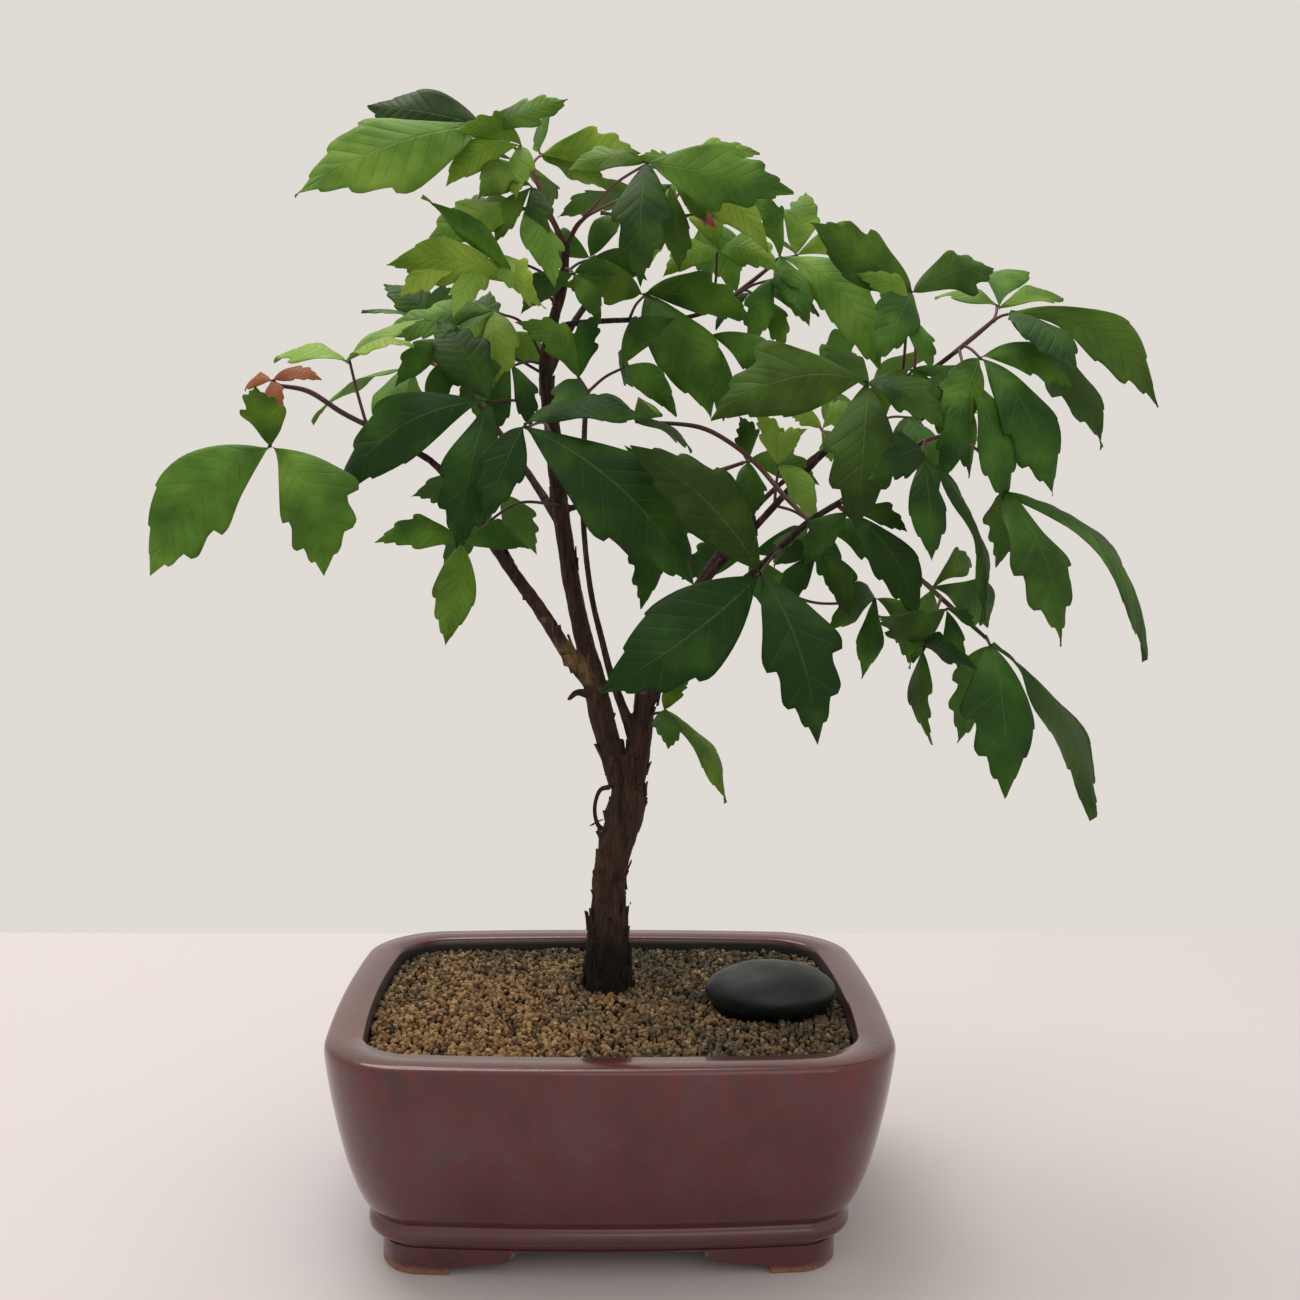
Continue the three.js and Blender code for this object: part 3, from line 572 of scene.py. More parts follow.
def vertex_values(mesh: Mesh, name: str, values: Iterable[float]) -> None:
    """Stores a number for each vertex of a mesh, as an attribute."""
    mesh.attributes.new(name, "FLOAT", "POINT").data.foreach_set("value", list(values))


@dataclass(frozen=True)
class OxbloodGlaze:
    """Glossy oxblood stoneware glaze: mottled, browner on the rim, with painted shade on the inner wall and
    bare under the feet.
    """

    brown: Colour = rgb(62, 28, 26)
    red: Colour = rgb(84, 30, 32)
    mauve: Colour = rgb(84, 48, 52)
    rim: Colour = rgb(98, 50, 46)
    # Painted shade of the inner wall.
    painted_inner_shade: Colour = rgb(22, 17, 16)
    clay: Colour = rgb(150, 104, 74)
    dark_clay: Colour = rgb(122, 80, 56)
    specks: Colour = rgb(44, 26, 25)
    runs: Colour = rgb(104, 24, 26)
    worn_rim: Colour = rgb(78, 44, 42)
    rim_heights: Point = (81.7, 82.6)
    mauve_heights: Point = (12, 48)
    run_heights: Point = (66, 80)
    inner_shade_heights: Point = (83, 80.5)
    bare_heights: Point = (-0.2, 1.8)

    def material(self) -> Material:
        """Returns the glaze's material."""
        s = Surface("oxblood_glaze")
        height = s.add("ShaderNodeSeparateXYZ", {0: s.place}).outputs["Z"]
        clouds = s.grain(22, 5, roughness=0.62)
        body = s.ramp(clouds, (0.3, self.brown), (0.5, self.red), (0.7, self.mauve))
        low = s.range(height, *metres(self.mauve_heights), 0.6, 0.0)
        body = s.mix(low, body, self.mauve)
        blots = s.range(s.grain(11, 4, distortion=0.4), 0.5, 0.75)
        body = s.mix(s.times(blots, 0.4), body, self.brown)
        specks = s.range(s.grain(0.9, 2), 0.6, 0.78)
        body = s.mix(s.times(specks, 0.3), body, self.specks)
        streaks = s.grain(5, 3, s.stretched((1, 1, 0.12)))
        top = s.range(height, *metres(self.run_heights))
        flow = s.times(s.range(streaks, 0.48, 0.66), s.times(top, 0.5))
        body = s.mix(flow, body, self.runs)
        on_rim = s.range(height, *metres(self.rim_heights))
        rim = s.mix(s.range(clouds, 0.35, 0.65), self.rim, self.worn_rim)
        body = s.mix(s.times(on_rim, 0.85), body, rim)
        # Painted shade on the inner wall, darker from the rim down.
        inside = s.times(s.attribute("inner"), s.range(height, *metres(self.inner_shade_heights)))
        body = s.mix(inside, body, self.painted_inner_shade)
        wave = s.times(s.grain(9, 2), 3 * MM)
        glazed = s.range(s.maths("SUBTRACT", height, wave), *metres(self.bare_heights))
        clay = s.mix(s.range(s.grain(1.5), 0.4, 0.7), self.clay, self.dark_clay)
        colour = s.mix(glazed, clay, body)
        dull = s.maths("MAXIMUM", s.range(glazed, 0, 1, 0.8, 0.2), s.times(inside, 0.75))
        pits = s.relief(s.grain(3.5, 3), 0.25, 0.35)
        s.finish(colour, dull, pits, Coat_Weight=0.25, Coat_Roughness=0.08, Specular_IOR_Level=0.5)
        return s.material


@dataclass(frozen=True)
class Grit:
    """Loose gritty soil: golden, brown and grey stones of many shades, golden towards one corner."""

    golden_corner: Point = (-0.085, -0.07, 0.08)
    golden: tuple[tuple[float, Colour], ...] = (
        (0.0, rgb(50, 38, 28)), (0.2, rgb(102, 79, 54)), (0.45, rgb(148, 116, 80)),
        (0.7, rgb(170, 136, 94)), (0.9, rgb(120, 82, 52)), (1.0, rgb(196, 168, 116)),
    )
    grey: tuple[tuple[float, Colour], ...] = (
        (0.0, rgb(28, 26, 22)), (0.25, rgb(66, 56, 44)), (0.5, rgb(92, 80, 61)),
        (0.72, rgb(106, 96, 72)), (0.88, rgb(78, 74, 64)), (1.0, rgb(150, 134, 100)),
    )
    dirt: Colour = rgb(62, 52, 38)

    def material(self) -> Material:
        """Returns the grit's material."""
        s = Surface("grit")
        stone = s.attribute("stone")
        ends = {0: s.place, 1: self.golden_corner}
        away = s.add("ShaderNodeVectorMath", ends, operation="DISTANCE").outputs[1]
        drift = s.maths("ADD", away, s.range(s.grain(22, 2), 0.3, 0.7, -0.045, 0.045))
        region = s.range(drift, 0.05, 0.13)
        colour = s.mix(region, s.ramp(stone, *self.golden), s.ramp(stone, *self.grey))
        colour = s.mix(s.range(s.grain(0.8, 3), 0.35, 0.7, 0.0, 0.4), colour, self.dirt)
        s.finish(colour, 0.95, s.relief(s.grain(0.5, 3), 0.2, 0.6), Specular_IOR_Level=0.3)
        return s.material


@dataclass(frozen=True)
class WetSoil:
    """The dark soil that shows between the stones."""

    wet: Colour = rgb(22, 18, 14)
    crumb: Colour = rgb(50, 42, 30)

    def material(self) -> Material:
        """Returns the soil's material."""
        s = Surface("wet_soil")
        colour = s.mix(s.range(s.grain(2.2, 4), 0.35, 0.65), self.wet, self.crumb)
        s.finish(colour, 0.95, s.relief(s.grain(1.2, 4), 0.6, 0.8), Specular_IOR_Level=0.2)
        return s.material


@dataclass(frozen=True)
class RiverStone:
    """Black river stone, half polished, with a blue-green cast."""

    black: Colour = rgb(15, 18, 18)
    cast: Colour = rgb(26, 34, 33)
    dust: Colour = rgb(70, 78, 74)

    def material(self) -> Material:
        """Returns the stone's material."""
        s = Surface("black_river_stone")
        cast = s.range(s.grain(14, 4), 0.38, 0.66)
        colour = s.mix(cast, self.black, self.cast)
        dust = s.range(s.grain(0.7, 4), 0.6, 0.78, 0.0, 0.25)
        colour = s.mix(dust, colour, self.dust)
        rough = s.range(s.grain(6, 4), 0.3, 0.7, 0.42, 0.56)
        s.finish(colour, rough, s.relief(s.grain(1.2, 4), 0.12, 0.5), Specular_IOR_Level=0.4)
        return s.material


@dataclass(frozen=True)
class FlakingBark:
    """Dark red-brown bark that flakes in upright strips, with tan under-bark where it has fallen."""

    dark: Colour = rgb(24, 17, 15)
    brown: Colour = rgb(52, 36, 30)
    red: Colour = rgb(67, 42, 35)
    tan: Colour = rgb(126, 98, 66)
    olive: Colour = rgb(96, 84, 50)
    # Near black, for the darker foot of the trunk.
    dark_base: Colour = rgb(11, 10, 10)

    def material(self) -> Material:
        """Returns the bark's material."""
        s = Surface("flaking_bark")
        along = s.stretched((1, 1, 0.2))
        plates = s.grain(2.6, 5, along, distortion=0.6)
        colour = s.ramp(plates, (0.3, self.dark), (0.47, self.brown), (0.62, self.red), (0.86, self.tan))
        fissures = s.range(s.grain(1.1, 4, s.stretched((1, 1, 0.12))), 0.5, 0.64)
        colour = s.mix(s.times(fissures, 0.7), colour, self.dark)
        worn = s.range(s.grain(7, 3, s.stretched((1, 1, 0.5))), 0.4, 0.58)
        bare = s.times(s.attribute("bare"), worn)
        under = s.mix(s.range(s.grain(4, 2), 0.4, 0.6), self.tan, self.olive)
        colour = s.mix(bare, colour, under)
        # Darker towards the foot of the trunk, down to the soil.
        dark_base = s.range(s.attribute("dark_base"), 0.0, 1.0, 0.0, 0.88)
        colour = s.mix(dark_base, colour, self.dark_base)
        bumps = s.relief(plates, 0.9, 0.8)
        s.finish(colour, 0.85, s.relief(fissures, 0.4, 0.6, bumps), Specular_IOR_Level=0.25)
        return s.material


@dataclass(frozen=True)
class StalkSkin:
    """Smooth dark red-brown skin of young stems and leaf stalks, pinker on the highest growth."""

    dark: Colour = rgb(46, 27, 25)
    red: Colour = rgb(80, 42, 38)
    olive: Colour = rgb(96, 80, 50)
    pink: Colour = rgb(150, 98, 84)
    pink_above: float = 375.0
    pink_fade: float = 25.0

    def material(self) -> Material:
        """Returns the stalks' material."""
        s = Surface("stalk_skin")
        colour = s.ramp(s.grain(26, 2), (0.34, self.dark), (0.52, self.red), (0.7, self.olive))
        height = s.add("ShaderNodeSeparateXYZ", {0: s.place}).outputs["Z"]
        high = s.range(height, self.pink_above * MM, (self.pink_above + self.pink_fade) * MM, 0.0, 0.75)
        colour = s.mix(high, colour, self.pink)
        s.finish(colour, 0.5, s.relief(s.grain(0.8, 3), 0.08, 0.4), Specular_IOR_Level=0.35)
        return s.material


@dataclass(frozen=True)
class LeafSkin:
    """A leaf's blade: greener above, paler below, with fine veins, light that comes through, and painted sun
    and shade from its tone.
    """

    name: str = "leaf_skin"
    # Four colours each, from the painted shade of a leaf in deep shade to the painted light of one in full
    # sun.
    cool: tuple[Colour, ...] = (rgb(30, 60, 18), rgb(60, 98, 32), rgb(100, 143, 52), rgb(148, 183, 82))
    warm: tuple[Colour, ...] = (rgb(46, 67, 16), rgb(78, 105, 28), rgb(120, 151, 44), rgb(160, 185, 70))
    below: Colour = rgb(96, 128, 70)
    glow: Colour = rgb(130, 190, 34)
    shadow: Colour = rgb(40, 70, 14)
    vein: Colour = rgb(132, 158, 78)
    marks: Point = (0.0, 0.33, 0.66, 1.0)
    first_vein: float = 0.1
    vein_pitch: float = 0.09
    vein_edge: Point = (0.02, 0.09)
    midrib_edge: Point = (0.012, 0.04)
    vein_share: float = 0.08
    midrib_share: float = 0.18
    through: float = 0.3

    @classmethod
    def young(cls) -> "LeafSkin":
        """Returns the skin of new growth, orange-brown with some green."""
        tones = rgb(124, 62, 44), rgb(158, 98, 58), rgb(160, 122, 62), rgb(150, 150, 66)
        return cls(
            "young_leaf_skin", tones, tones, below=rgb(176, 122, 78), glow=rgb(214, 120, 50),
            vein=rgb(200, 140, 90),
        )

    @classmethod
    def bud(cls) -> "LeafSkin":
        """Returns the skin of unfolding buds, pink-red."""
        tones = rgb(150, 60, 66), rgb(186, 96, 96), rgb(190, 110, 96), rgb(196, 130, 100)
        return cls(
            "bud_skin", tones, tones, below=rgb(190, 120, 112), glow=rgb(226, 120, 104),
            vein=rgb(206, 130, 120),
        )

    def veins(self, s: Surface) -> tuple[NodeSocket, NodeSocket]:
        """Draws the midrib and the side veins from the blade's own map.

        Args:
            s: The surface.

        Returns:
            The socket of the midrib's share and that of the side veins' share.
        """
        own = s.add("ShaderNodeUVMap", uv_map="blade").outputs[0]
        axes = s.add("ShaderNodeSeparateXYZ", {0: own}).outputs
        aside = s.times(s.maths("ABSOLUTE", s.maths("SUBTRACT", axes["Y"], 0.5)), 2)
        midrib = s.range(aside, *self.midrib_edge, 1, 0)
        turns = s.maths("DIVIDE", s.maths("SUBTRACT", axes["X"], self.first_vein), self.vein_pitch)
        away = s.maths("PINGPONG", turns, 0.5)
        side = s.range(away, *self.vein_edge, 1, 0)
        return midrib, s.times(side, s.range(aside, 0.6, 1.0, 1, 0.1))

    def material(self) -> Material:
        """Returns the blade's material."""
        s = Surface(self.name)
        # Painted sun and shade: the tone picks a lighter colour for a sunlit leaf and a darker one for a
        # shaded leaf.
        tone = s.maths("ADD", s.attribute("tone"), s.range(s.attribute("vary"), 0, 1, -0.1, 0.1))
        patches = s.maths("ADD", tone, s.range(s.grain(20, 3), 0.3, 0.7, -0.26, 0.26))
        cool, warm = (s.ramp(patches, *zip(self.marks, tones)) for tones in (self.cool, self.warm))
        above = s.mix(s.range(s.attribute("vary"), 0.2, 1, 0, 0.9), cool, warm)
        midrib, side = self.veins(s)
        above = s.mix(s.times(side, self.vein_share), above, self.vein)
        above = s.mix(s.times(midrib, self.midrib_share), above, self.vein)
        below = s.mix(0.5, above, self.below)
        colour = s.mix(s.attribute("under"), above, below)
        net = s.relief(s.grain(0.9, 2), 0.12, 0.35)
        net = s.relief(s.maths("SUBTRACT", 1, s.maths("MAXIMUM", side, midrib)), 0.6, 0.5, net)
        rough = s.range(s.grain(5, 2), 0.3, 0.7, 0.5, 0.62)
        leaf = s.finish(colour, rough, net, Specular_IOR_Level=0.2)
        light = s.mix(0.5, s.mix(s.times(side, 0.3), above, self.shadow), self.glow)
        glow = s.add("ShaderNodeBsdfTranslucent", {"Color": light, "Normal": net})
        both = s.add("ShaderNodeMixShader", {0: self.through, 1: leaf.outputs[0], 2: glow.outputs[0]})
        s.tree.links.new(both.outputs[0], s.out.inputs["Surface"])
        return s.material


@dataclass(frozen=True)
class ScreenPlastic:
    """Matt black plastic of the drain screens."""

    black: Colour = rgb(28, 28, 28)
    dusty: Colour = rgb(46, 44, 40)

    def material(self) -> Material:
        """Returns the plastic's material."""
        s = Surface("screen_plastic")
        colour = s.mix(s.range(s.grain(4, 3), 0.4, 0.7), self.black, self.dusty)
        s.finish(colour, 0.6, s.relief(s.grain(0.8, 2), 0.1, 0.3))
        return s.material


@dataclass(frozen=True)
class PaleGround:
    """Pale matt ground of the studio."""

    pale: Colour = rgb(204, 197, 198)

    def material(self) -> Material:
        """Returns the ground's material."""
        s = Surface("pale_ground")
        s.finish(self.pale, 0.9)
        return s.material


@dataclass(frozen=True)
class Pot:
    """The rectangular stoneware pot with a flat rim, a waisted foot band and four bracket feet."""

    width: float = 205.0
    depth: float = 163.0
    height: float = 83.0
    rim: float = 12.9
    bow: float = 4.4
    corner: float = 26.0
    shrink: float = 0.8
    least: float = 6.0
    floor_under: float = 9.2
    floor_top: float = 19.0
    foot_inset: float = 18.6
    foot_thick: float = 13.0
    foot_long: float = 27.0
    heel: float = 0.8
    lobe: Point = (29.5, 3.6)
    step: Point = (42.0, 5.0)
    arch: float = 51.0
    shorter: float = 8.0
    drain: float = 42.0
    drain_radius: float = 6.5
    foot_chamfer: Point = (1.0, 1.2)
    overcut: float = 0.4
    soft_edge: float = 0.35
    crease: float = 48.0
    arc_steps: int = 9
    side_steps: int = 16
    swell_steps: int = 6
    profile_steps: int = 3
    drain_sides: int = 32
    outside: tuple[Point, ...] = (
        (19.6, 9.2), (18.4, 11.6), (18, 12.8), (15.2, 13.6), (14.2, 15), (14.2, 18.2), (15.4, 19.8),
        (14.9, 20.8), (12.2, 25), (8.3, 35), (5.2, 47), (2.9, 58.5), (1.2, 69), (0.2, 77), (0, 80.6),
        (0.5, 82.2), (1.7, 83),
    )
    inside: tuple[Point, ...] = (
        (12.1, 83), (12.9, 82), (12.9, 74), (10.4, 71), (10.4, 56), (15, 38), (21, 25), (26, 19),
    )

    def outline(self, inset: float) -> list[Vector]:
        """Draws the pot's outline at some depth under its skin.

        Args:
            inset: How far it is set in from the rim's outline.

        Returns:
            The points of the rounded, slightly bowed rectangle, anticlockwise.
        """
        wide = self.width / 2 - self.bow - inset
        deep = self.depth / 2 - self.bow - inset
        corner = max(self.corner - inset * self.shrink, self.least)
        centres = [
            Vector((wide - corner, deep - corner)), Vector((corner - wide, deep - corner)),
            Vector((corner - wide, corner - deep)), Vector((wide - corner, corner - deep)),
        ]
        points = []
        for quarter, centre in enumerate(centres):
            for i in range(self.arc_steps + 1):
                angle = (quarter + i / self.arc_steps) * math.pi / 2
                points.append(centre + Vector((math.cos(angle), math.sin(angle))) * corner)
            reach = Vector((math.cos(angle), math.sin(angle))) * corner
            start, end = centre + reach, centres[(quarter + 1) % 4] + reach
            points += [start.lerp(end, i / self.side_steps) for i in range(1, self.side_steps)]
        for p in points:
            across, along = p.x / wide, p.y / deep
            p.x += math.copysign(self.bow * (1 - along**2) * abs(across) ** 4, p.x)
            p.y += math.copysign(self.bow * (1 - across**2) * abs(along) ** 4, p.y)
        return points

    def ring_body(self, name: str, profile: Sequence[Point]) -> Object:
        """Builds a closed body from outlines stacked along a profile.

        Args:
            name: The object's name.
            profile: The inset and height of each ring, from the middle of the underside to that of the top.

        Returns:
            The object, with each end closed to a point on the axis.
        """
        rings = [self.outline(inset) for inset, _ in profile]
        count = len(rings[0])
        points = [(p.x, p.y, z) for ring, (_, z) in zip(rings, profile) for p in ring]
        points += [(0, 0, profile[0][1]), (0, 0, profile[-1][1])]
        faces = []
        for k in range(len(profile) - 1):
            for i in range(count):
                a, b = k * count + i, k * count + (i + 1) % count
                faces.append((a, b, b + count, a + count))
        last = (len(profile) - 1) * count
        for i in range(count):
            j = (i + 1) % count
            faces += [(last + count, j, i), (last + i, last + j, last + count + 1)]
        moved = [Vector(p) + POT_MIDDLE for p in points]
        return mesh_object(name, moved, faces)

    def soft(self, profile: Sequence[Point]) -> list[Point]:
        """Rounds a profile.

        Args:
            profile: The points that it goes through.

        Returns:
            The finer profile.
        """
        points, steps = [Vector((inset, z, 0)) for inset, z in profile], self.profile_steps
        fine = [curve_point(points, k / steps) for k in range((len(points) - 1) * steps + 1)]
        return [(p.x, min(p.y, self.height)) for p in fine]

    def arches(self, half: float, through: float, shorter: float, turned: bool) -> Object:
        """Builds what is cut away between the feet of two opposite sides.

        Args:
            half: Half the length of the side at the feet.
            through: How far the cut runs.
            shorter: How much nearer to the corner the steps are.
            turned: Whether it cuts through the short sides.

        Returns:
            The cutter.
        """
        foot = half - self.foot_long
        lobe, lobe_height = half - self.lobe[0], self.lobe[1]
        step, step_height = half - self.step[0] + shorter, self.step[1]
        arch = half - self.arch + shorter
        quarter = [math.pi / 2 * k / self.swell_steps for k in range(1, self.swell_steps + 1)]
        right = [(foot, -2), (foot, self.heel)]
        for angle in quarter:
            right.append((
                lobe + (foot - lobe) * math.cos(angle),
                self.heel + (lobe_height - self.heel) * math.sin(angle),
            ))
        right.append((step, step_height))
        for angle in quarter:
            right.append((
                step + (arch - step) * math.sin(angle),
                step_height + (self.floor_under + self.overcut - step_height) * (1 - math.cos(angle)),
            ))
        outline = right + [(-x, z) for x, z in reversed(right)]
        count = len(outline)
        points = []
        for side in (-1, 1):
            for x, z in outline:
                flat = Vector((side * through / 2, x, z)) if turned else Vector((x, side * through / 2, z))
                points.append(flat + POT_MIDDLE)
        faces = [tuple(range(count)), tuple(range(2 * count - 1, count - 1, -1))]
        faces += [(i, i + count, (i + 1) % count + count, (i + 1) % count) for i in range(count)]
        return outward(mesh_object("arch_cutter", points, faces))

    def feet(self) -> Object:
        """Builds the four bracket feet as one skirt that is cut away between them."""
        half_wide, half_deep = self.width / 2 - self.foot_inset, self.depth / 2 - self.foot_inset
        inset, (back, up) = self.foot_inset, self.foot_chamfer
        skirt = self.ring_body("feet", [(inset + back, 0), (inset, up), (inset, self.floor_under + 1)])
        cutters = [
            block(half_wide - self.foot_thick, half_deep - self.foot_thick, self.floor_under),
            self.arches(half_wide, self.depth, 0, False),
            self.arches(half_deep, self.width, self.shorter, True),
        ]
        for cutter in cutters:
            combined(skirt, "DIFFERENCE", cutter)
        return skirt

    def drains(self) -> list[Object]:
        """Returns a cutter for each drain hole."""
        cutters, count = [], self.drain_sides
        for side in (-1, 1):
            middle = Vector((side * self.drain, 0, 0))
            turns = [2 * math.pi * i / count for i in range(count)]
            ring = [middle + Vector((math.cos(a), math.sin(a), 0)) * self.drain_radius for a in turns]
            points = [p + POT_MIDDLE + Vector((0, 0, z)) for z in (0, 2 * self.floor_top) for p in ring]
            faces = [tuple(range(count - 1, -1, -1)), tuple(range(count, 2 * count))]
            faces += [(i, (i + 1) % count, (i + 1) % count + count, i + count) for i in range(count)]
            cutters.append(mesh_object("drain_cutter", points, faces))
        return cutters

    def build(self, glaze: OxbloodGlaze) -> None:
        """Builds the pot.

        Args:
            glaze: Its finish.
        """
        profile = self.soft(self.outside) + self.soft(self.inside)
        pot = self.ring_body("glazed_pot", profile)
        combined(pot, "UNION", self.feet())
        for cutter in self.drains():
            combined(pot, "DIFFERENCE", cutter)
        modified(pot, "BEVEL", width=self.soft_edge * MM, segments=2, angle_limit=math.radians(50))
        # How much each vertex faces into the pot above its floor, which sets the glaze's painted shade.
        inner = []
        for vertex in pot.data.vertices:
            aside = (vertex.co / MM - POT_MIDDLE).to_2d()
            facing = -vertex.normal.to_2d().dot(aside.normalized())
            inner.append(min(max(3 * facing, 0), 1) if vertex.co.z > self.floor_under * MM else 0)
        vertex_values(pot.data, "inner", inner)
        dress(pot.data, glaze.material())
        settle(smoothed(pot, self.crease), "glaze", "pot")


@dataclass(frozen=True)
class Pebble:
    """The black river stone that lies on the grit."""

    middle: Point = (61.5, -4, 84.5)
    size: Point = (51, 38, 22)
    turn: float = 4.0
    uneven: float = 0.7
    lumps: Point = (1.3, 2.6)
    shrunk: float = 0.25

    def covers(self, x: float, y: float, margin: float) -> bool:
        """Tells whether a place lies under the stone.

        Args:
            x: The place's distance to the right of the pot's middle.
            y: Its distance behind the pot's middle.
            margin: How far outside the stone still counts.

        Returns:
            True under the stone.
        """
        turn = math.radians(-self.turn)
        dx, dy = x - self.middle[0], y - self.middle[1]
        across = dx * math.cos(turn) - dy * math.sin(turn)
        along = dx * math.sin(turn) + dy * math.cos(turn)
        return math.hypot(across / (self.size[0] / 2 + margin), along / (self.size[1] / 2 + margin)) < 1

    def build(self, finish: RiverStone) -> None:
        """Builds the stone.

        Args:
            finish: Its finish.
        """
        form = bmesh.new()
        bmesh.ops.create_icosphere(form, subdivisions=5, radius=1.0)
        turn = Matrix.Rotation(math.radians(self.turn), 3, "Z")
        half = Vector(self.size) / 2
        for vertex in form.verts:
            way = vertex.co.copy()
            broad, fine = (noise.noise(way * pitch) for pitch in self.lumps)
            lump = self.uneven * (broad - 0.4 * abs(fine))
            reach = Vector(a * b for a, b in zip(way, half)) + way * (lump - self.shrunk)
            vertex.co = turn @ reach + Vector(self.middle) + POT_MIDDLE
        points = [v.co.copy() for v in form.verts]
        faces = [[v.index for v in f.verts] for f in form.faces]
        form.free()
        stone = mesh_object("river_pebble", points, faces, finish.material())
        settle(smoothed(stone), "pebble", "pebble")


class GritRecipe(Recipe):
    """Stones scattered over a sheet, each with its own size, turn and shade."""

    smallest: Point = (0.75, 0.65, 0.5)
    largest: Point = (1.35, 1.15, 0.95)
    full_turn: float = 6.28
    crowding: float = 1.6
    dent_size: float = 1.2
    dent_depth: float = 0.55

    def __init__(self) -> None:
        """Builds the tree."""
        super().__init__("scattered_grit")
        spacing, size = self.size("Spacing"), self.size("Stone Size")
        seed = self.size("Seed", "NodeSocketInt")
        tightest = self.maths("DIVIDE", self.crowding, self.times(spacing, spacing))
        spots = self.add(
            "GeometryNodeDistributePointsOnFaces",
            {"Mesh": self.geometry, "Distance Min": spacing, "Density Max": tightest, "Seed": seed},
            distribute_method="POISSON",
        ).outputs["Points"]
        stone = self.add("GeometryNodeMeshIcoSphere", {"Radius": 0.5, "Subdivisions": 1}).outputs["Mesh"]
        turn = self.draw((0.0, 0.0, 0.0), (self.full_turn,) * 3, seed, 1)
        shape = self.scaled(self.draw(self.smallest, self.largest, seed, 2), size)
        laid = self.add(
            "GeometryNodeInstanceOnPoints",
            {"Points": spots, "Instance": stone, "Rotation": turn, "Scale": shape},
        ).outputs[0]
        shade = self.draw(0.0, 1.0, seed, 3)
        marked = self.add(
            "GeometryNodeStoreNamedAttribute",
            {"Geometry": laid, "Name": "stone", "Value": shade},
            domain="INSTANCE",
            data_type="FLOAT",
        ).outputs[0]
        real = self.add("GeometryNodeRealizeInstances", {"Geometry": marked}).outputs[0]
        where = self.add("GeometryNodeInputPosition").outputs[0]
        scale = 1 / (self.dent_size * MM)
        rough = self.add("ShaderNodeTexNoise", {"Vector": where, "Scale": scale, "Detail": 1.0})
        push = self.vector("SUBTRACT", rough.outputs["Color"], (0.5, 0.5, 0.35))
        moved = self.scaled(push, self.times(size, self.dent_depth))
        broken = self.add("GeometryNodeSetPosition", {"Geometry": real, "Offset": moved}).outputs[0]
        self.close(broken, smooth=False)


@dataclass(frozen=True)
class SoilBed:
    """Soil that fills the pot, under loose grit."""

    pot: Pot
    pebble: Pebble
    edge: float = 77.2
    crown: float = 78.8
    slope: float = 0.016
    bump: float = 0.8
    sunk: float = 1.2
    trunk: Point = (-1, 20, 10.2)
    rings: int = 44
    grain: float = 1.6
    wall_gap: float = 1.2
    under_pebble: float = 3.0
    crumb: Point = (0.5, 2.4)
    deeper: float = 0.9
    layers: tuple[tuple[str, float, float, int], ...] = (
        ("grit_layer", 1.6, 2.5, 3), ("grit_top", 3.4, 2.9, 8),
    )

    def height(self, x: float, y: float) -> float:
        """Returns the height of the surface at a place beside the pot's middle."""
        away = math.hypot(2 * x / self.pot.width, 2 * y / self.pot.depth)
        mound = (self.crown - self.edge) * max(0.0, 1 - away)
        bumps = math.sin(x * 0.41 + 1.3 * math.sin(y * 0.37)) * math.sin(y * 0.47 + x * 0.13)
        return self.edge + mound + self.slope * y + self.bump * bumps

    def covered(self, x: float, y: float) -> bool:
        """Tells whether the trunk or the pebble stands on a place beside the pot's middle."""
        in_trunk = math.hypot(x - self.trunk[0], y - self.trunk[1]) < self.trunk[2]
        return in_trunk or self.pebble.covers(x, y, -self.under_pebble)

    def sheet(self) -> Object:
        """Returns the open surface that the stones lie on."""
        outline = self.pot.outline(self.pot.rim + self.wall_gap)
        count = len(outline)
        rings = [[p * (1 - k / self.rings) for p in outline] for k in range(self.rings)]
        flat = [p for ring in rings for p in ring]
        points = [Vector((p.x, p.y, self.height(p.x, p.y) - self.sunk)) + POT_MIDDLE for p in flat]
        faces = []
        for k in range(self.rings - 1):
            for i in range(count):
                a, b = k * count + i, k * count + (i + 1) % count
                middle = (flat[a] + flat[b + count]) / 2
                if not self.covered(middle.x, middle.y):
                    faces.append((a, b, b + count, a + count))
        return mesh_object("grit_sheet", points, faces)

    def bed(self, finish: WetSoil) -> None:
        """Builds the bed under the stones.

        Args:
            finish: Its finish.
        """
        made = placed("soil_bed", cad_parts["soil"].data.copy())
        made.data.name = "soil_bed"
        reshape(made, lambda form: bmesh.ops.remove_doubles(form, verts=form.verts, dist=1e-6))
        modified(made, "REMESH", mode="VOXEL", voxel_size=self.grain * MM, use_smooth_shade=True)
        high, pitch = self.crumb
        for vertex in made.data.vertices:
            if vertex.co.z > (self.edge - 4) * MM:
                crumb = high * MM * noise.noise(vertex.co / (pitch * MM))
                vertex.co.z += crumb - (self.sunk + self.deeper) * MM
        dress(made.data, finish.material())
        settle(made, "soil", "soil")

    def build(self, grit: Grit, soil: WetSoil) -> None:
        """Builds the bed, its layer of stones and the larger stones on top.

        Args:
            grit: The stones' finish.
            soil: The bed's finish.
        """
        self.bed(soil)
        recipe, finish = GritRecipe(), grit.material()
        for name, spacing, size, seed in self.layers:
            stones = recipe.cook(
                self.sheet(), name, Finish=finish, Spacing=spacing * MM, Stone_Size=size * MM, Seed=seed
            )
            settle(stones, "soil")


@dataclass(frozen=True)
class Limb:
    """One limb of the tree: how rough its bark is, and its path as plan points [x, z, y, radius]."""

    bark: float
    path: tuple[Point, ...]

    def stations(self, spacing: float = 1.2) -> Line:
        """Returns the places along the limb, with the radius at each."""
        return stations([seen(p) for p in self.path], [p[3] for p in self.path], spacing)


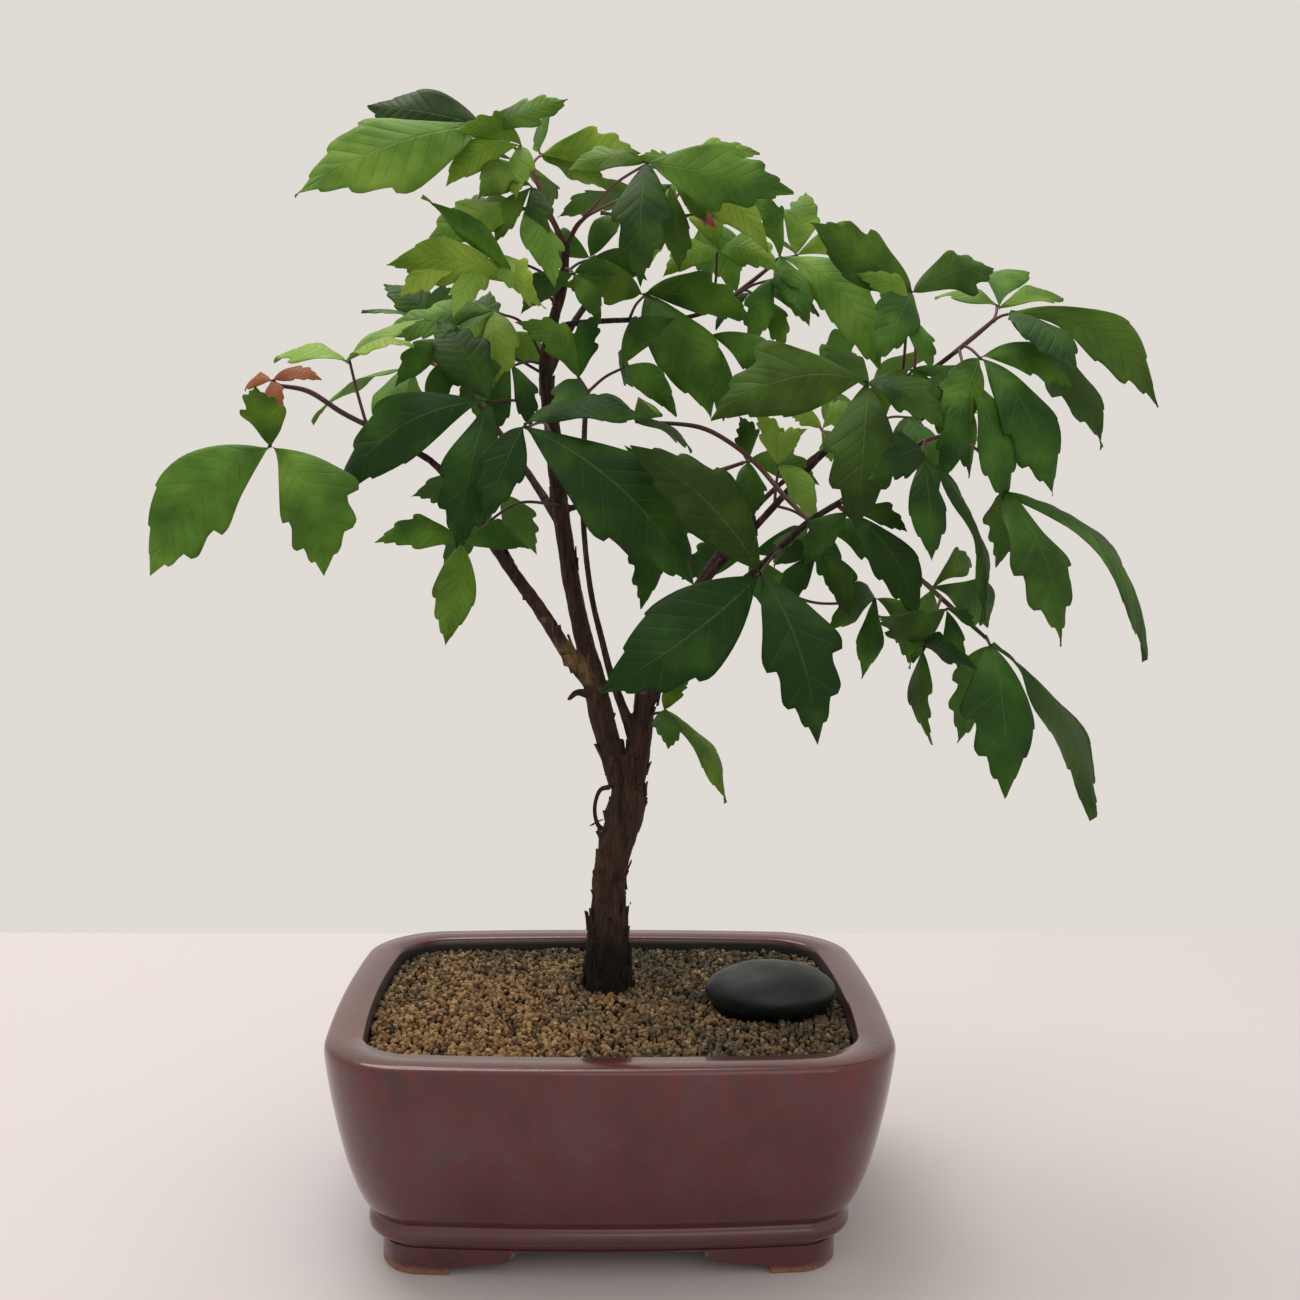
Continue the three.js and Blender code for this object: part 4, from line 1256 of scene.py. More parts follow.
class TubeRecipe(Recipe):
    """Round stems along the lines of a mesh, as thick as its vertices say."""

    def __init__(self) -> None:
        """Builds the tree."""
        super().__init__("stems_along_lines")
        sides = self.size("Sides", "NodeSocketInt")
        lines = self.add("GeometryNodeMeshToCurve", {"Mesh": self.geometry}).outputs[0]
        named = "GeometryNodeInputNamedAttribute"
        thick = self.add(named, {"Name": "thickness"}, data_type="FLOAT").outputs[0]
        plain = self.add("GeometryNodeSetCurveRadius", {"Curve": lines, "Radius": 1.0}).outputs[0]
        ring = self.add("GeometryNodeCurvePrimitiveCircle", {"Resolution": sides, "Radius": 1.0}).outputs[0]
        tube = self.add(
            "GeometryNodeCurveToMesh",
            {"Curve": plain, "Profile Curve": ring, "Scale": thick, "Fill Caps": True},
        ).outputs[0]
        self.close(tube, smooth=True)

    def grow(self, name: str, lines: Sequence[Line], sides: int, finish: Material) -> Object:
        """Makes a stem along each line.

        Args:
            name: The name of the result.
            lines: For each stem, the places along it in millimetres and the radius at each.
            sides: How many sides a stem has.
            finish: The stems' material.

        Returns:
            The stems, as one plain mesh.
        """
        mesh = bpy.data.meshes.new(name + "_lines")
        edges, start = [], 0
        for line in lines:
            edges += [(start + k, start + k + 1) for k in range(len(line) - 1)]
            start += len(line)
        mesh.from_pydata([place * MM for line in lines for place, _ in line], edges, [])
        vertex_values(mesh, "thickness", metres([radius for line in lines for _, radius in line]))
        return self.cook(placed(name + "_lines", mesh), name, Finish=finish, Sides=sides)


class FlakeRecipe(Recipe):
    """Thin curled flakes of bark that stand off a limb where its bark is rough."""

    smallest: Point = (0.5, 0.4, 0.7)
    largest: Point = (1.3, 1.3, 1.3)
    askew: float = 0.3

    def __init__(self) -> None:
        """Builds the tree."""
        super().__init__("curled_bark_flakes")
        density, seed = self.size("Density"), self.size("Seed", "NodeSocketInt")
        length, width, thick = self.size("Length"), self.size("Width"), self.size("Thickness")
        curl = self.size("Curl")
        rough = self.add("GeometryNodeInputNamedAttribute", {"Name": "rough"}, data_type="FLOAT").outputs[0]
        spots = self.add(
            "GeometryNodeDistributePointsOnFaces",
            {"Mesh": self.geometry, "Density": self.times(density, rough), "Seed": seed},
        ).outputs
        size = self.add("ShaderNodeCombineXYZ", {0: width, 1: length, 2: thick}).outputs[0]
        cube = {"Size": size, "Vertices X": 3, "Vertices Y": 5, "Vertices Z": 2}
        sheet = self.add("GeometryNodeMeshCube", cube).outputs["Mesh"]
        where = self.add("GeometryNodeInputPosition").outputs[0]
        along = self.add("ShaderNodeSeparateXYZ", {0: where}).outputs["Y"]
        share = self.maths("ADD", self.maths("DIVIDE", along, length), 0.5)
        lift = self.times(curl, self.times(share, share))
        rise = self.add("ShaderNodeCombineXYZ", {2: lift}).outputs[0]
        bent = self.add("GeometryNodeSetPosition", {"Geometry": sheet, "Offset": rise}).outputs[0]
        align = "FunctionNodeAlignRotationToVector"
        flat = self.add(align, {"Vector": spots["Normal"]}, axis="Z").outputs[0]
        hang = {"Rotation": flat, "Vector": (0, 0, 1)}
        upright = self.add(align, hang, axis="Y", pivot_axis="Z").outputs[0]
        twist = self.add("ShaderNodeCombineXYZ", {2: self.draw(-self.askew, self.askew, seed, 1)}).outputs[0]
        turned = self.add(
            "FunctionNodeRotateRotation",
            {0: upright, 1: self.add("FunctionNodeEulerToRotation", {0: twist}).outputs[0]},
            rotation_space="LOCAL",
        ).outputs[0]
        grown = self.draw(self.smallest, self.largest, seed, 2)
        laid = self.add(
            "GeometryNodeInstanceOnPoints",
            {"Points": spots["Points"], "Instance": bent, "Rotation": turned, "Scale": grown},
        ).outputs[0]
        self.close(laid, smooth=False)


LIMBS = {
    "trunk": Limb(1, (
        (-1, 50, 20, 10.6), (-1, 76, 20, 10.2), (-1, 88, 20, 9), (-1, 100, 20, 8),
        (-0.8, 112, 20, 6.8), (-1, 122, 20, 6.4), (0.8, 131, 20, 6.6), (3.2, 140, 20, 7),
        (5.2, 148, 20, 7.4), (6.3, 156, 20, 6.8), (6, 164, 20, 6.9), (5, 172, 20, 5.6),
    )),
    "leader": Limb(0.6, (
        (3.5, 160, 20, 5), (-0.8, 174, 20, 4.7), (-4.2, 186, 20, 4.8), (-6.6, 197, 20, 4.7),
        (-8.5, 206, 20, 4.2), (-10.8, 214, 21, 3.7), (-14.5, 230, 22, 3.5), (-17.6, 246, 23, 3.4),
        (-20.3, 264, 24, 3.3), (-22.6, 283, 24, 3.1), (-24.5, 300, 24, 2.9), (-26.3, 314, 25, 2.8),
        (-26.5, 326, 26, 2.5), (-24, 338, 27, 2.2), (-20.5, 350, 28, 1.9), (-19.5, 360, 28, 1.7),
        (-19, 368, 28, 1.6),
    )),
    "left_branch": Limb(0.5, (
        (-6.5, 198, 20, 3.8), (-13, 205.5, 18, 3.3), (-20, 215, 16, 2.9), (-29, 229, 12, 2.7),
        (-38.5, 242, 7, 2.4), (-46, 252.5, 3, 2.1), (-57, 270, -4, 1.7), (-71, 285.5, -10, 1.3),
        (-84, 292, -13, 1.15), (-96, 299, -16, 1),
    )),
    "thin_stem": Limb(0.2, (
        (8.5, 178, 20, 2.8), (6.3, 184, 18, 2.3), (3.2, 192, 16, 1.8), (-0.5, 202, 15, 1.5),
        (-4.5, 217, 13, 1.25), (-8, 231, 11, 1.15), (-10.5, 247, 10, 1.1), (-12, 265, 10, 1.1),
        (-12, 285, 10, 1.1), (-11.5, 303, 10, 1.05),
    )),
    "right_stem": Limb(0.6, (
        (7, 158, 20, 5.4), (10, 171, 20, 4.7), (11.6, 184, 19, 4.3), (13, 196, 18, 3.8),
    )),
    "upper_right_branch": Limb(0.3, (
        (12.4, 188, 19, 3.2), (20, 213, 21, 2.2), (36.5, 241, 17, 1.6), (47, 252.5, 14, 1.5),
        (59, 266, 10, 1.4), (76, 285, 4, 1.3), (89, 298, 0, 1.2), (104, 309, -3, 1.1),
        (119, 320, -5, 1), (132, 330, -6, 0.95),
    )),
    "lower_right_branch": Limb(0.3, (
        (13, 190, 18, 2.8), (28, 220, 6, 1.9), (44, 236, -6, 1.5), (53, 242.5, -12, 1.35),
        (64, 252.5, -18, 1.3), (75, 263, -22, 1.25), (89, 272, -26, 1.15), (104, 282, -30, 1.05),
        (116, 292, -33, 1),
    )),
    "inner_twig": Limb(0, (
        (-19.5, 267, 24, 1.4), (-10, 269.5, 27, 1), (4, 274, 30, 0.95), (20, 278, 33, 0.9),
        (36, 281, 36, 0.85),
    )),
    "crown_twig": Limb(0, (
        (-25, 334, 27, 1.6), (-19, 337, 30, 1.3), (-8, 338.5, 34, 1.15), (10, 339.5, 40, 1.05),
        (24, 340, 44, 1), (36, 343, 47, 0.95),
    )),
    "back_right_branch": Limb(0.3, (
        (12, 188, 20, 3), (20, 214, 38, 2), (36, 244, 58, 1.5), (58, 272, 76, 1.2),
        (84, 294, 90, 1),
    )),
    "back_left_branch": Limb(0.3, (
        (-18.5, 258, 24, 2.2), (-30, 276, 42, 1.6), (-44, 296, 60, 1.25), (-56, 312, 74, 1),
    )),
    "back_crown_branch": Limb(0.2, (
        (-26, 318, 25, 1.9), (-16, 338, 44, 1.4), (-2, 356, 62, 1.15), (12, 368, 76, 1),
    )),
    "broken_stub": Limb(0.6, (
        (-9, 195, 18, 1.8), (-14, 196, 14, 1.3), (-17.5, 193, 12, 0.7),
    )),
}


@dataclass(frozen=True)
class Flake:
    """A large flake that peels off the trunk: its middle, height, reach, direction, size and curl."""

    x: float
    z: float
    reach: float
    angle: float
    length: float
    width: float
    curl: float


FLAKES = (
    Flake(-0.5, 98, 7.4, 178, 10, 4.5, 2.4),
    Flake(-0.6, 104, 7.0, 2, 9, 5, 1.8),
    Flake(-0.8, 118, 5.8, 200, 8, 4, 1.6),
    Flake(0.4, 126, 5.8, 250, 9, 4.5, 1.8),
    Flake(2.2, 134, 6.4, 185, 12, 3.5, 2.6),
    Flake(5, 146, 6.8, -4, 7, 5, 2.2),
    Flake(5.4, 150, 6.6, 300, 9, 4.5, 1.8),
    Flake(-0.9, 90, 8.2, 120, 11, 5, 2.2),
)


@dataclass(frozen=True)
class Wood:
    """Trunk and branches, grown as one piece, with flaking bark."""

    voxel: float = 0.56
    sides: int = 20
    relief: float = 0.85
    ridges: Point = (2.3, 0.95)
    ridge_stretch: float = 0.2
    plate: float = 3.0
    plate_stretch: float = 0.24
    tan_limb: str = "left_branch"
    tan_top: float = 226.0
    # The height at which the trunk starts to darken towards the soil, and over how much it does.
    dark_base_top: float = 112.0
    dark_base_fade: float = 20.0
    loose_curl: Limb = Limb(0, (
        (-1, 158.5, 17, 1.1), (-4.4, 157.5, 16, 0.9), (-6.4, 153, 15, 0.8), (-6.6, 147, 15, 0.8),
        (-4.8, 142.5, 16, 0.9), (-1, 141, 17, 1.1),
    ))

    def nearest(self) -> tuple[KDTree, list[tuple[str, float, float]]]:
        """Lists the places along all limbs.

        Returns:
            A tree to search for the nearest place, and the limb, bark and radius of each.
        """
        rows = [
            (place, (name, limb.bark, radius))
            for name, limb in LIMBS.items()
            for place, radius in limb.stations(2.5)
        ]
        tree = KDTree(len(rows))
        for k, (place, _) in enumerate(rows):
            tree.insert(place, k)
        tree.balance()
        return tree, [facts for _, facts in rows]

    def roughen(self, made: Object) -> None:
        """Carves the bark and stores how rough and bare it is at each vertex, and how much darker it is
        towards the soil.

        Args:
            made: The smooth wood.
        """
        tree, facts = self.nearest()
        values = {"rough": [], "bare": [], "dark_base": []}
        normals = [v.normal.copy() for v in made.data.vertices]
        broad, narrow = self.ridges
        for vertex, normal in zip(made.data.vertices, normals):
            place = vertex.co / MM
            name, bark, radius = facts[tree.find(place)[1]]
            grain = Vector((place.x, place.y, place.z * self.ridge_stretch))
            ridges = noise.noise(grain / broad) + 0.45 * noise.noise(grain / narrow)
            cells = Vector((place.x, place.y, place.z * self.plate_stretch)) / self.plate
            near, far = noise.voronoi(cells)[0][:2]
            plates = min((far - near) * 3, 1) - 0.6
            depth = self.relief * bark * min(radius / 6, 1) ** 0.5
            fine = 0.06 * noise.noise(place / 0.9)
            vertex.co += normal * (depth * (0.62 * ridges + 0.5 * plates) + fine) * MM
            values["rough"].append(bark * min(radius / 5, 1))
            tan = name == self.tan_limb and place.z < self.tan_top
            values["bare"].append(0.9 if tan else 0.12 * bark)
            # How much darker the bark is here, rising towards the soil.
            values["dark_base"].append(min(max((self.dark_base_top - place.z) / self.dark_base_fade, 0), 1))
        for name, column in values.items():
            vertex_values(made.data, name, column)

    def large_flake(self, flake: Flake) -> Object:
        """Builds one of the large flakes, with its foot in the trunk and its end curled away.

        Args:
            flake: The flake.

        Returns:
            The flake as a closed sheet.
        """
        turn = math.radians(flake.angle)
        outwards = Vector((math.cos(turn), math.sin(turn), 0))
        aside = Vector((-math.sin(turn), math.cos(turn), 0))
        start = Vector((flake.x, TRUNK_PLANE, flake.z)) + outwards * flake.reach + POT_MIDDLE
        rows, columns, thick = 9, 5, 0.7
        points = []
        for skin in (0.5, -0.5):
            for i in range(rows):
                share = i / (rows - 1)
                width = flake.width * (1 - 0.35 * share**2) * (1 + 0.12 * math.sin(9 * share + flake.angle))
                for j in range(columns):
                    across = j / (columns - 1) - 0.5
                    away = flake.curl * share**2 - 1.2 * across**2 + skin * thick * (1 - 0.6 * share)
                    up = Vector((0, 0, flake.length * (share - 0.25 * across**2 * share)))
                    points.append(start + up + aside * across * width + outwards * away)
        count = rows * columns
        faces = []
        for i in range(rows - 1):
            for j in range(columns - 1):
                a = i * columns + j
                quad = (a, a + 1, a + columns + 1, a + columns)
                faces += [quad, tuple(count + n for n in reversed(quad))]
        rim = list(range(columns)) + [i * columns + columns - 1 for i in range(1, rows)]
        rim += [count - 1 - j for j in range(1, columns)] + [i * columns for i in range(rows - 2, 0, -1)]
        for a, b in zip(rim, rim[1:] + rim[:1]):
            faces.append((b, a, a + count, b + count))
        return outward(mesh_object("large_flake", points, faces))

    def build(self, tubes: TubeRecipe, finish: FlakingBark) -> None:
        """Builds the wood, its loose curl of bark and its flakes.

        Args:
            tubes: The recipe for stems.
            finish: The bark.
        """
        bark = finish.material()
        wood = tubes.grow("bark_wood", [limb.stations() for limb in LIMBS.values()], self.sides, bark)
        wood = joined("bark_wood", [wood, *(self.large_flake(flake) for flake in FLAKES)])
        modified(wood, "REMESH", mode="VOXEL", voxel_size=self.voxel * MM, use_smooth_shade=True)
        self.roughen(wood)
        dress(wood.data, bark)
        source = placed("flake_source", wood.data.copy())
        settle(wood, "bark", "wood")
        small = FlakeRecipe().cook(
            source, "bark_flakes", Finish=bark, Density=0.02 / MM**2, Seed=5, Length=8 * MM,
            Width=2.4 * MM, Thickness=0.5 * MM, Curl=0.7 * MM,
        )
        settle(small, "bark")
        settle(tubes.grow("loose_bark_curl", [self.loose_curl.stations(0.8)], 8, bark), "bark")


class Tone(Enum):
    """How light a leaf is, from deep shade to full sun."""

    DARK = 0.1
    MID = 0.33
    BRIGHT = 0.66
    SUNLIT = 1.0


class Edge(Enum):
    """The outline of one half of a leaflet, in stretches from tooth to tooth.

    A point says how far along the leaflet and how far out it lies, as shares of the leaflet's length.
    """

    SMOOTH = (
        ((0, 0.006), (0.08, 0.07), (0.19, 0.14), (0.36, 0.2), (0.53, 0.21), (0.6, 0.198)),
        ((0.605, 0.185), (0.66, 0.17), (0.72, 0.15), (0.77, 0.128), (0.79, 0.118)),
        ((0.795, 0.1), (0.84, 0.082), (0.885, 0.062), (0.91, 0.05)),
        ((0.912, 0.044), (0.955, 0.022), (1, 0.002)),
    )
    TOOTHED = (
        ((0, 0.006), (0.08, 0.065), (0.18, 0.13), (0.36, 0.2), (0.53, 0.235), (0.585, 0.212)),
        ((0.59, 0.182), (0.64, 0.172), (0.7, 0.168), (0.75, 0.158), (0.775, 0.138)),
        ((0.78, 0.112), (0.83, 0.098), (0.875, 0.084), (0.9, 0.068)),
        ((0.903, 0.05), (0.955, 0.024), (1, 0.002)),
    )
    LOBED = (
        ((0, 0.006), (0.07, 0.055), (0.17, 0.11), (0.34, 0.175), (0.5, 0.24), (0.565, 0.225)),
        ((0.575, 0.165), (0.62, 0.158), (0.68, 0.168), (0.745, 0.172), (0.78, 0.148)),
        ((0.785, 0.105), (0.825, 0.092), (0.87, 0.082), (0.897, 0.066)),
        ((0.9, 0.045), (0.95, 0.024), (1, 0.002)),
    )
    DEEP = (
        ((0, 0.006), (0.08, 0.05), (0.2, 0.1), (0.38, 0.155), (0.57, 0.245), (0.645, 0.225)),
        ((0.65, 0.15), (0.69, 0.138), (0.74, 0.138), (0.8, 0.142), (0.84, 0.12)),
        ((0.843, 0.086), (0.875, 0.076), (0.91, 0.064), (0.932, 0.052)),
        ((0.935, 0.038), (0.968, 0.018), (1, 0.002)),
    )


@dataclass(frozen=True)
class Leaf:
    """A leaf: where its stalk starts, its hub and its three leaflets' tips, as plan points, and its tone, the
    painted sun and shade on it.

    A fourth number of a tip is how many degrees its leaflet is twisted about its rib. For each leaflet, the
    shades say how much lighter its painted light is than the leaf's, the bows how much it hangs over, and the
    widths how broad it is.
    """

    start: Point
    hub: Point
    tips: tuple[Point, ...]
    via: Point | None = None
    tone: Tone = Tone.MID
    shades: Point = (0, 0, 0)
    bows: Point = (1, 1, 1)
    widths: Point = (1, 1, 1)

    def facing(self) -> Vector:
        """Returns the way that the leaf's upper side faces."""
        one, two, three = (seen(tip) for tip in self.tips)
        normal = (two - one).cross(three - one).normalized()
        return -normal if normal.dot(Vector((0, -0.5, 1))) < 0 else normal

    def right_to_left(self) -> list[tuple[Vector, int]]:
        """Returns each tip and its number, in their order round the hub from past the widest gap."""
        hub, facing = seen(self.hub), self.facing()
        tips = [seen(tip) for tip in self.tips]
        ahead = tips[0] - hub
        ahead = (ahead - facing * ahead.dot(facing)).normalized()
        left = facing.cross(ahead)
        turns = sorted((math.atan2((t - hub).dot(left), (t - hub).dot(ahead)), k) for k, t in enumerate(tips))
        gaps = [(turns[k][0] - turns[k - 1][0]) % (2 * math.pi) for k in range(3)]
        start = gaps.index(max(gaps))
        order = [turns[(start + k) % 3][1] for k in range(3)]
        return [(tips[k], k) for k in order]


@dataclass(frozen=True)
class Spray:
    """Leaves that share a stem, which the part holds as one node."""

    name: str
    leaves: tuple[Leaf, ...]
    stem: tuple[Point, ...] = ()


class Sheets:
    """Leaflets as closed thin sheets, gathered for one mesh."""

    def __init__(self) -> None:
        """Starts with no leaflet."""
        self.points: list[Vector] = []
        self.faces: list[tuple[int, ...]] = []
        self.maps: list[Point] = []
        self.values: dict[str, list[float]] = {"tone": [], "vary": [], "under": []}

    def grid(self, places: list[list[Vector]], maps: list[list[Point]], **values: float) -> list[list[int]]:
        """Adds the points of one side of a sheet.

        Args:
            places: The points, row by row.
            maps: The place of each point in the sheet's own map.
            **values: A value of each attribute, for all the points.

        Returns:
            The numbers of the points, row by row.
        """
        start, width = len(self.points), len(places[0])
        self.points += [p for row in places for p in row]
        self.maps += [m for row in maps for m in row]
        for name, column in self.values.items():
            column += [values[name]] * (len(places) * width)
        return [[start + i * width + j for j in range(width)] for i in range(len(places))]

    def close(self, top: list[list[int]], bottom: list[list[int]]) -> None:
        """Adds the faces of a sheet whose two sides are alike.

        Args:
            top: The numbers of its upper points.
            bottom: The numbers of its lower points.
        """
        for i in range(len(top) - 1):
            for j in range(len(top[0]) - 1):
                self.faces.append((top[i][j], top[i][j + 1], top[i + 1][j + 1], top[i + 1][j]))
                self.faces.append((bottom[i + 1][j], bottom[i + 1][j + 1], bottom[i][j + 1], bottom[i][j]))
        upper, lower = (
            rows[0][:-1] + [r[-1] for r in rows[:-1]] + rows[-1][:0:-1] + [r[0] for r in rows[:0:-1]]
            for rows in (top, bottom)
        )
        for k in range(len(upper)):
            n = (k + 1) % len(upper)
            self.faces.append((upper[n], upper[k], lower[k], lower[n]))

    def build(self, name: str, material: Material) -> Object:
        """Makes the mesh of all the sheets.

        Args:
            name: The object's name.
            material: The material of the sheets.

        Returns:
            The object.
        """
        made = mesh_object(name, self.points, self.faces, material)
        mesh = made.data
        for key, column in self.values.items():
            vertex_values(mesh, key, column)
        own = mesh.uv_layers.new(name="blade")
        corners = np.empty(len(mesh.loops), dtype=np.int32)
        mesh.loops.foreach_get("vertex_index", corners)
        own.data.foreach_set("uv", np.array(self.maps, dtype=np.float32)[corners].ravel())
        mesh.polygons.foreach_set("use_smooth", [True] * len(mesh.polygons))
        return made


@dataclass(frozen=True)
class Blade:
    """The form of a leaflet: two halves on an arched rib, each with an edge that runs from tooth to tooth."""

    veins: tuple[Point, ...] = (
        (0, 0.04, 0.1, 0.19, 0.33, 0.37), (0.395, 0.45, 0.52, 0.6, 0.64), (0.655, 0.71, 0.77, 0.8),
        (0.815, 0.9, 1),
    )
    steps: tuple[int, ...] = (18, 11, 8, 8)
    columns: tuple[float, ...] = (0, 0.05, 0.2, 0.4, 0.62, 0.82, 1)
    outer_edges: tuple[Edge, ...] = (Edge.LOBED, Edge.TOOTHED, Edge.DEEP, Edge.LOBED)
    inner_edges: tuple[Edge, ...] = (Edge.TOOTHED, Edge.SMOOTH, Edge.LOBED)
    arch: float = 0.12
    bow: float = 0.15
    fold: float = 0.2
    outer: float = 1.02
    inner: float = 1.0
    clear: float = 0.98
    outer_slope: float = 1.3
    stalk: float = 0.03
    quilt: float = 0.006
    wave: float = 0.024
    droop: float = 0.03
    thick: Point = (0.42, 0.24)
    rib: float = 0.26
    groove: float = 0.06
    uneven: Point = (0.86, 1.08)
    waves: Point = (1.2, 2.0)
    tone_spread: float = 0.1

    def half(self, edge: Edge) -> list[Point]:
        """Lists the rows of one half of a leaflet.

        Args:
            edge: Its outline.

        Returns:
            For each row, where on the rib its vein leaves, and how far along and how far out it ends.
        """
        rows = []
        for ribs, outline, steps in zip(self.veins, edge.value, self.steps):
            points = [Vector((rib, along, out)) for rib, (along, out) in zip(ribs, outline)]
            last = len(points) - 1
            rows += [curve_point(points, last * k / (steps - 1)) for k in range(steps)]
        return rows

    def room(self, hub: Vector, one: Vector, other: Vector) -> float:
        """Returns how fast the half of a leaflet can widen before it meets its neighbour's."""
        angle = min((one - hub).angle(other - hub), 2)
        return self.clear * math.tan(angle / 2)

    def reach(self, along: float, out: float, slope: float) -> float:
        """Returns how far out an edge goes where the room for it widens only as fast as the slope."""
        free = slope * max(along - self.stalk, 0.0) + 0.004
        return out * free / (out**4 + free**4) ** 0.25

    def bend(self, chord: Vector, up: Vector, bow: float) -> Vector:
        """Returns how far the middle of a leaflet's rib lies off the line from hub to tip.

        Args:
            chord: From the hub to the tip.
            up: The way that the leaflet's upper side faces.
            bow: How much it hangs over, as a share of the usual.

        Returns:
            The distance as a vector: the leaflet's own arch, and how it rises and then hangs over.
        """
        upright = Vector((0, 0, 1)) - chord * (chord.z / chord.length_squared)
        lean = upright.normalized()
        hang = bow * self.bow * min(2.5 * upright.length, 1) * (1 - max(up.dot(lean), 0))
        return (up * self.arch + lean * hang) * chord.length

    def leaflet(
        self, sheets: Sheets, hub: Vector, tip: Vector, up: Vector,
        halves: Sequence[tuple[Edge, float, float]], tone: float, bow: float, dice: random.Random,
    ) -> None:
        """Adds one leaflet.

        Args:
            sheets: What it is added to.
            hub: The leaf's hub.
            tip: The leaflet's tip.
            up: The way that its upper side faces, square on its rib.
            halves: The edge of its right and its left half, and how fast the room of each widens.
            tone: How light it is, as painted sun and shade.
            bow: How much it hangs over.
            dice: The source of its small differences.
        """
        chord = tip - hub
        length = chord.length
        right = chord.cross(up).normalized()
        vary, phase, waves = dice.random(), dice.uniform(0, 6.3), dice.uniform(*self.waves)
        uneven = [dice.uniform(*self.uneven) for _ in range(2)]
        bend = self.bend(chord, up, bow)
        tops, bottoms, maps = [], [], []
        shares = [(-1, c) for c in reversed(self.columns[1:])] + [(1, c) for c in self.columns]
        outlines = {}
        for side, (edge, full, slope), scale in zip((1, -1), halves, uneven):
            rows = self.half(edge)
            outlines[side] = [(rib, at, self.reach(at, out * full * scale, slope)) for rib, at, out in rows]
        for row in range(sum(self.steps)):
            top, bottom, own = [], [], []
            for side, c in shares:
                rib, along, out = outlines[side][row]
                at = rib + (along - rib) * c
                between = abs((rib - LeafSkin.first_vein) / LeafSkin.vein_pitch % 1 - 0.5)
                bulge = self.quilt * (1 - 4 * between**2) * math.sin(math.pi * min(c, 0.9))
                ripple = self.wave * c * c * math.sin(waves * 2 * math.pi * at + phase + side)
                lift = bulge + ripple - self.fold * out * c - self.droop * at**3
                place = hub + chord * at + bend * (4 * at * (1 - at))
                place += right * (side * out * c * length) + up * (lift * length)
                thick = (self.thick[0] * (1 - rib) + self.thick[1] * rib) * (1 - 0.45 * c)
                keel = self.rib * (1 - 0.75 * rib) * (1 if c == 0 else 0.25 if c < 0.1 else 0)
                groove = self.groove if c == 0 else 0
                top.append(place + up * (thick / 2 - groove))
                bottom.append(place - up * (thick / 2 + keel))
                own.append((rib, 0.5 + 0.5 * side * c))
            tops.append(top)
            bottoms.append(bottom)
            maps.append(own)
        over = sheets.grid(tops, maps, tone=tone, vary=vary, under=0.0)
        beneath = sheets.grid(bottoms, maps, tone=tone, vary=vary, under=1.0)
        sheets.close(over, beneath)

    def leaf(self, sheets: Sheets, leaf: Leaf, dice: random.Random) -> None:
        """Adds a leaf's three leaflets.

        Args:
            sheets: What they are added to.
            leaf: The leaf.
            dice: The source of their small differences.
        """
        hub, facing, order = seen(leaf.hub), leaf.facing(), leaf.right_to_left()
        right, left = (self.room(hub, order[k][0], order[k + 1][0]) for k in (0, 1))
        rooms = ((self.outer_slope, right), (right, left), (left, self.outer_slope))
        for (tip, number), room in zip(order, rooms):
            ahead = (tip - hub).normalized()
            flat = (facing - ahead * facing.dot(ahead)).normalized()
            up = Matrix.Rotation(math.radians(sum(leaf.tips[number][3:])), 3, ahead) @ flat
            halves = []
            for slope in room:
                free = slope == self.outer_slope
                edges, full = (self.outer_edges, self.outer) if free else (self.inner_edges, self.inner)
                halves.append((dice.choice(edges), full * leaf.widths[number], slope))
            # Painted sun and shade of the leaflet, with a small random spread.
            tone = leaf.tone.value + leaf.shades[number] + dice.uniform(-self.tone_spread, self.tone_spread)
            self.leaflet(sheets, hub, tip, up, halves, tone, leaf.bows[number], dice)


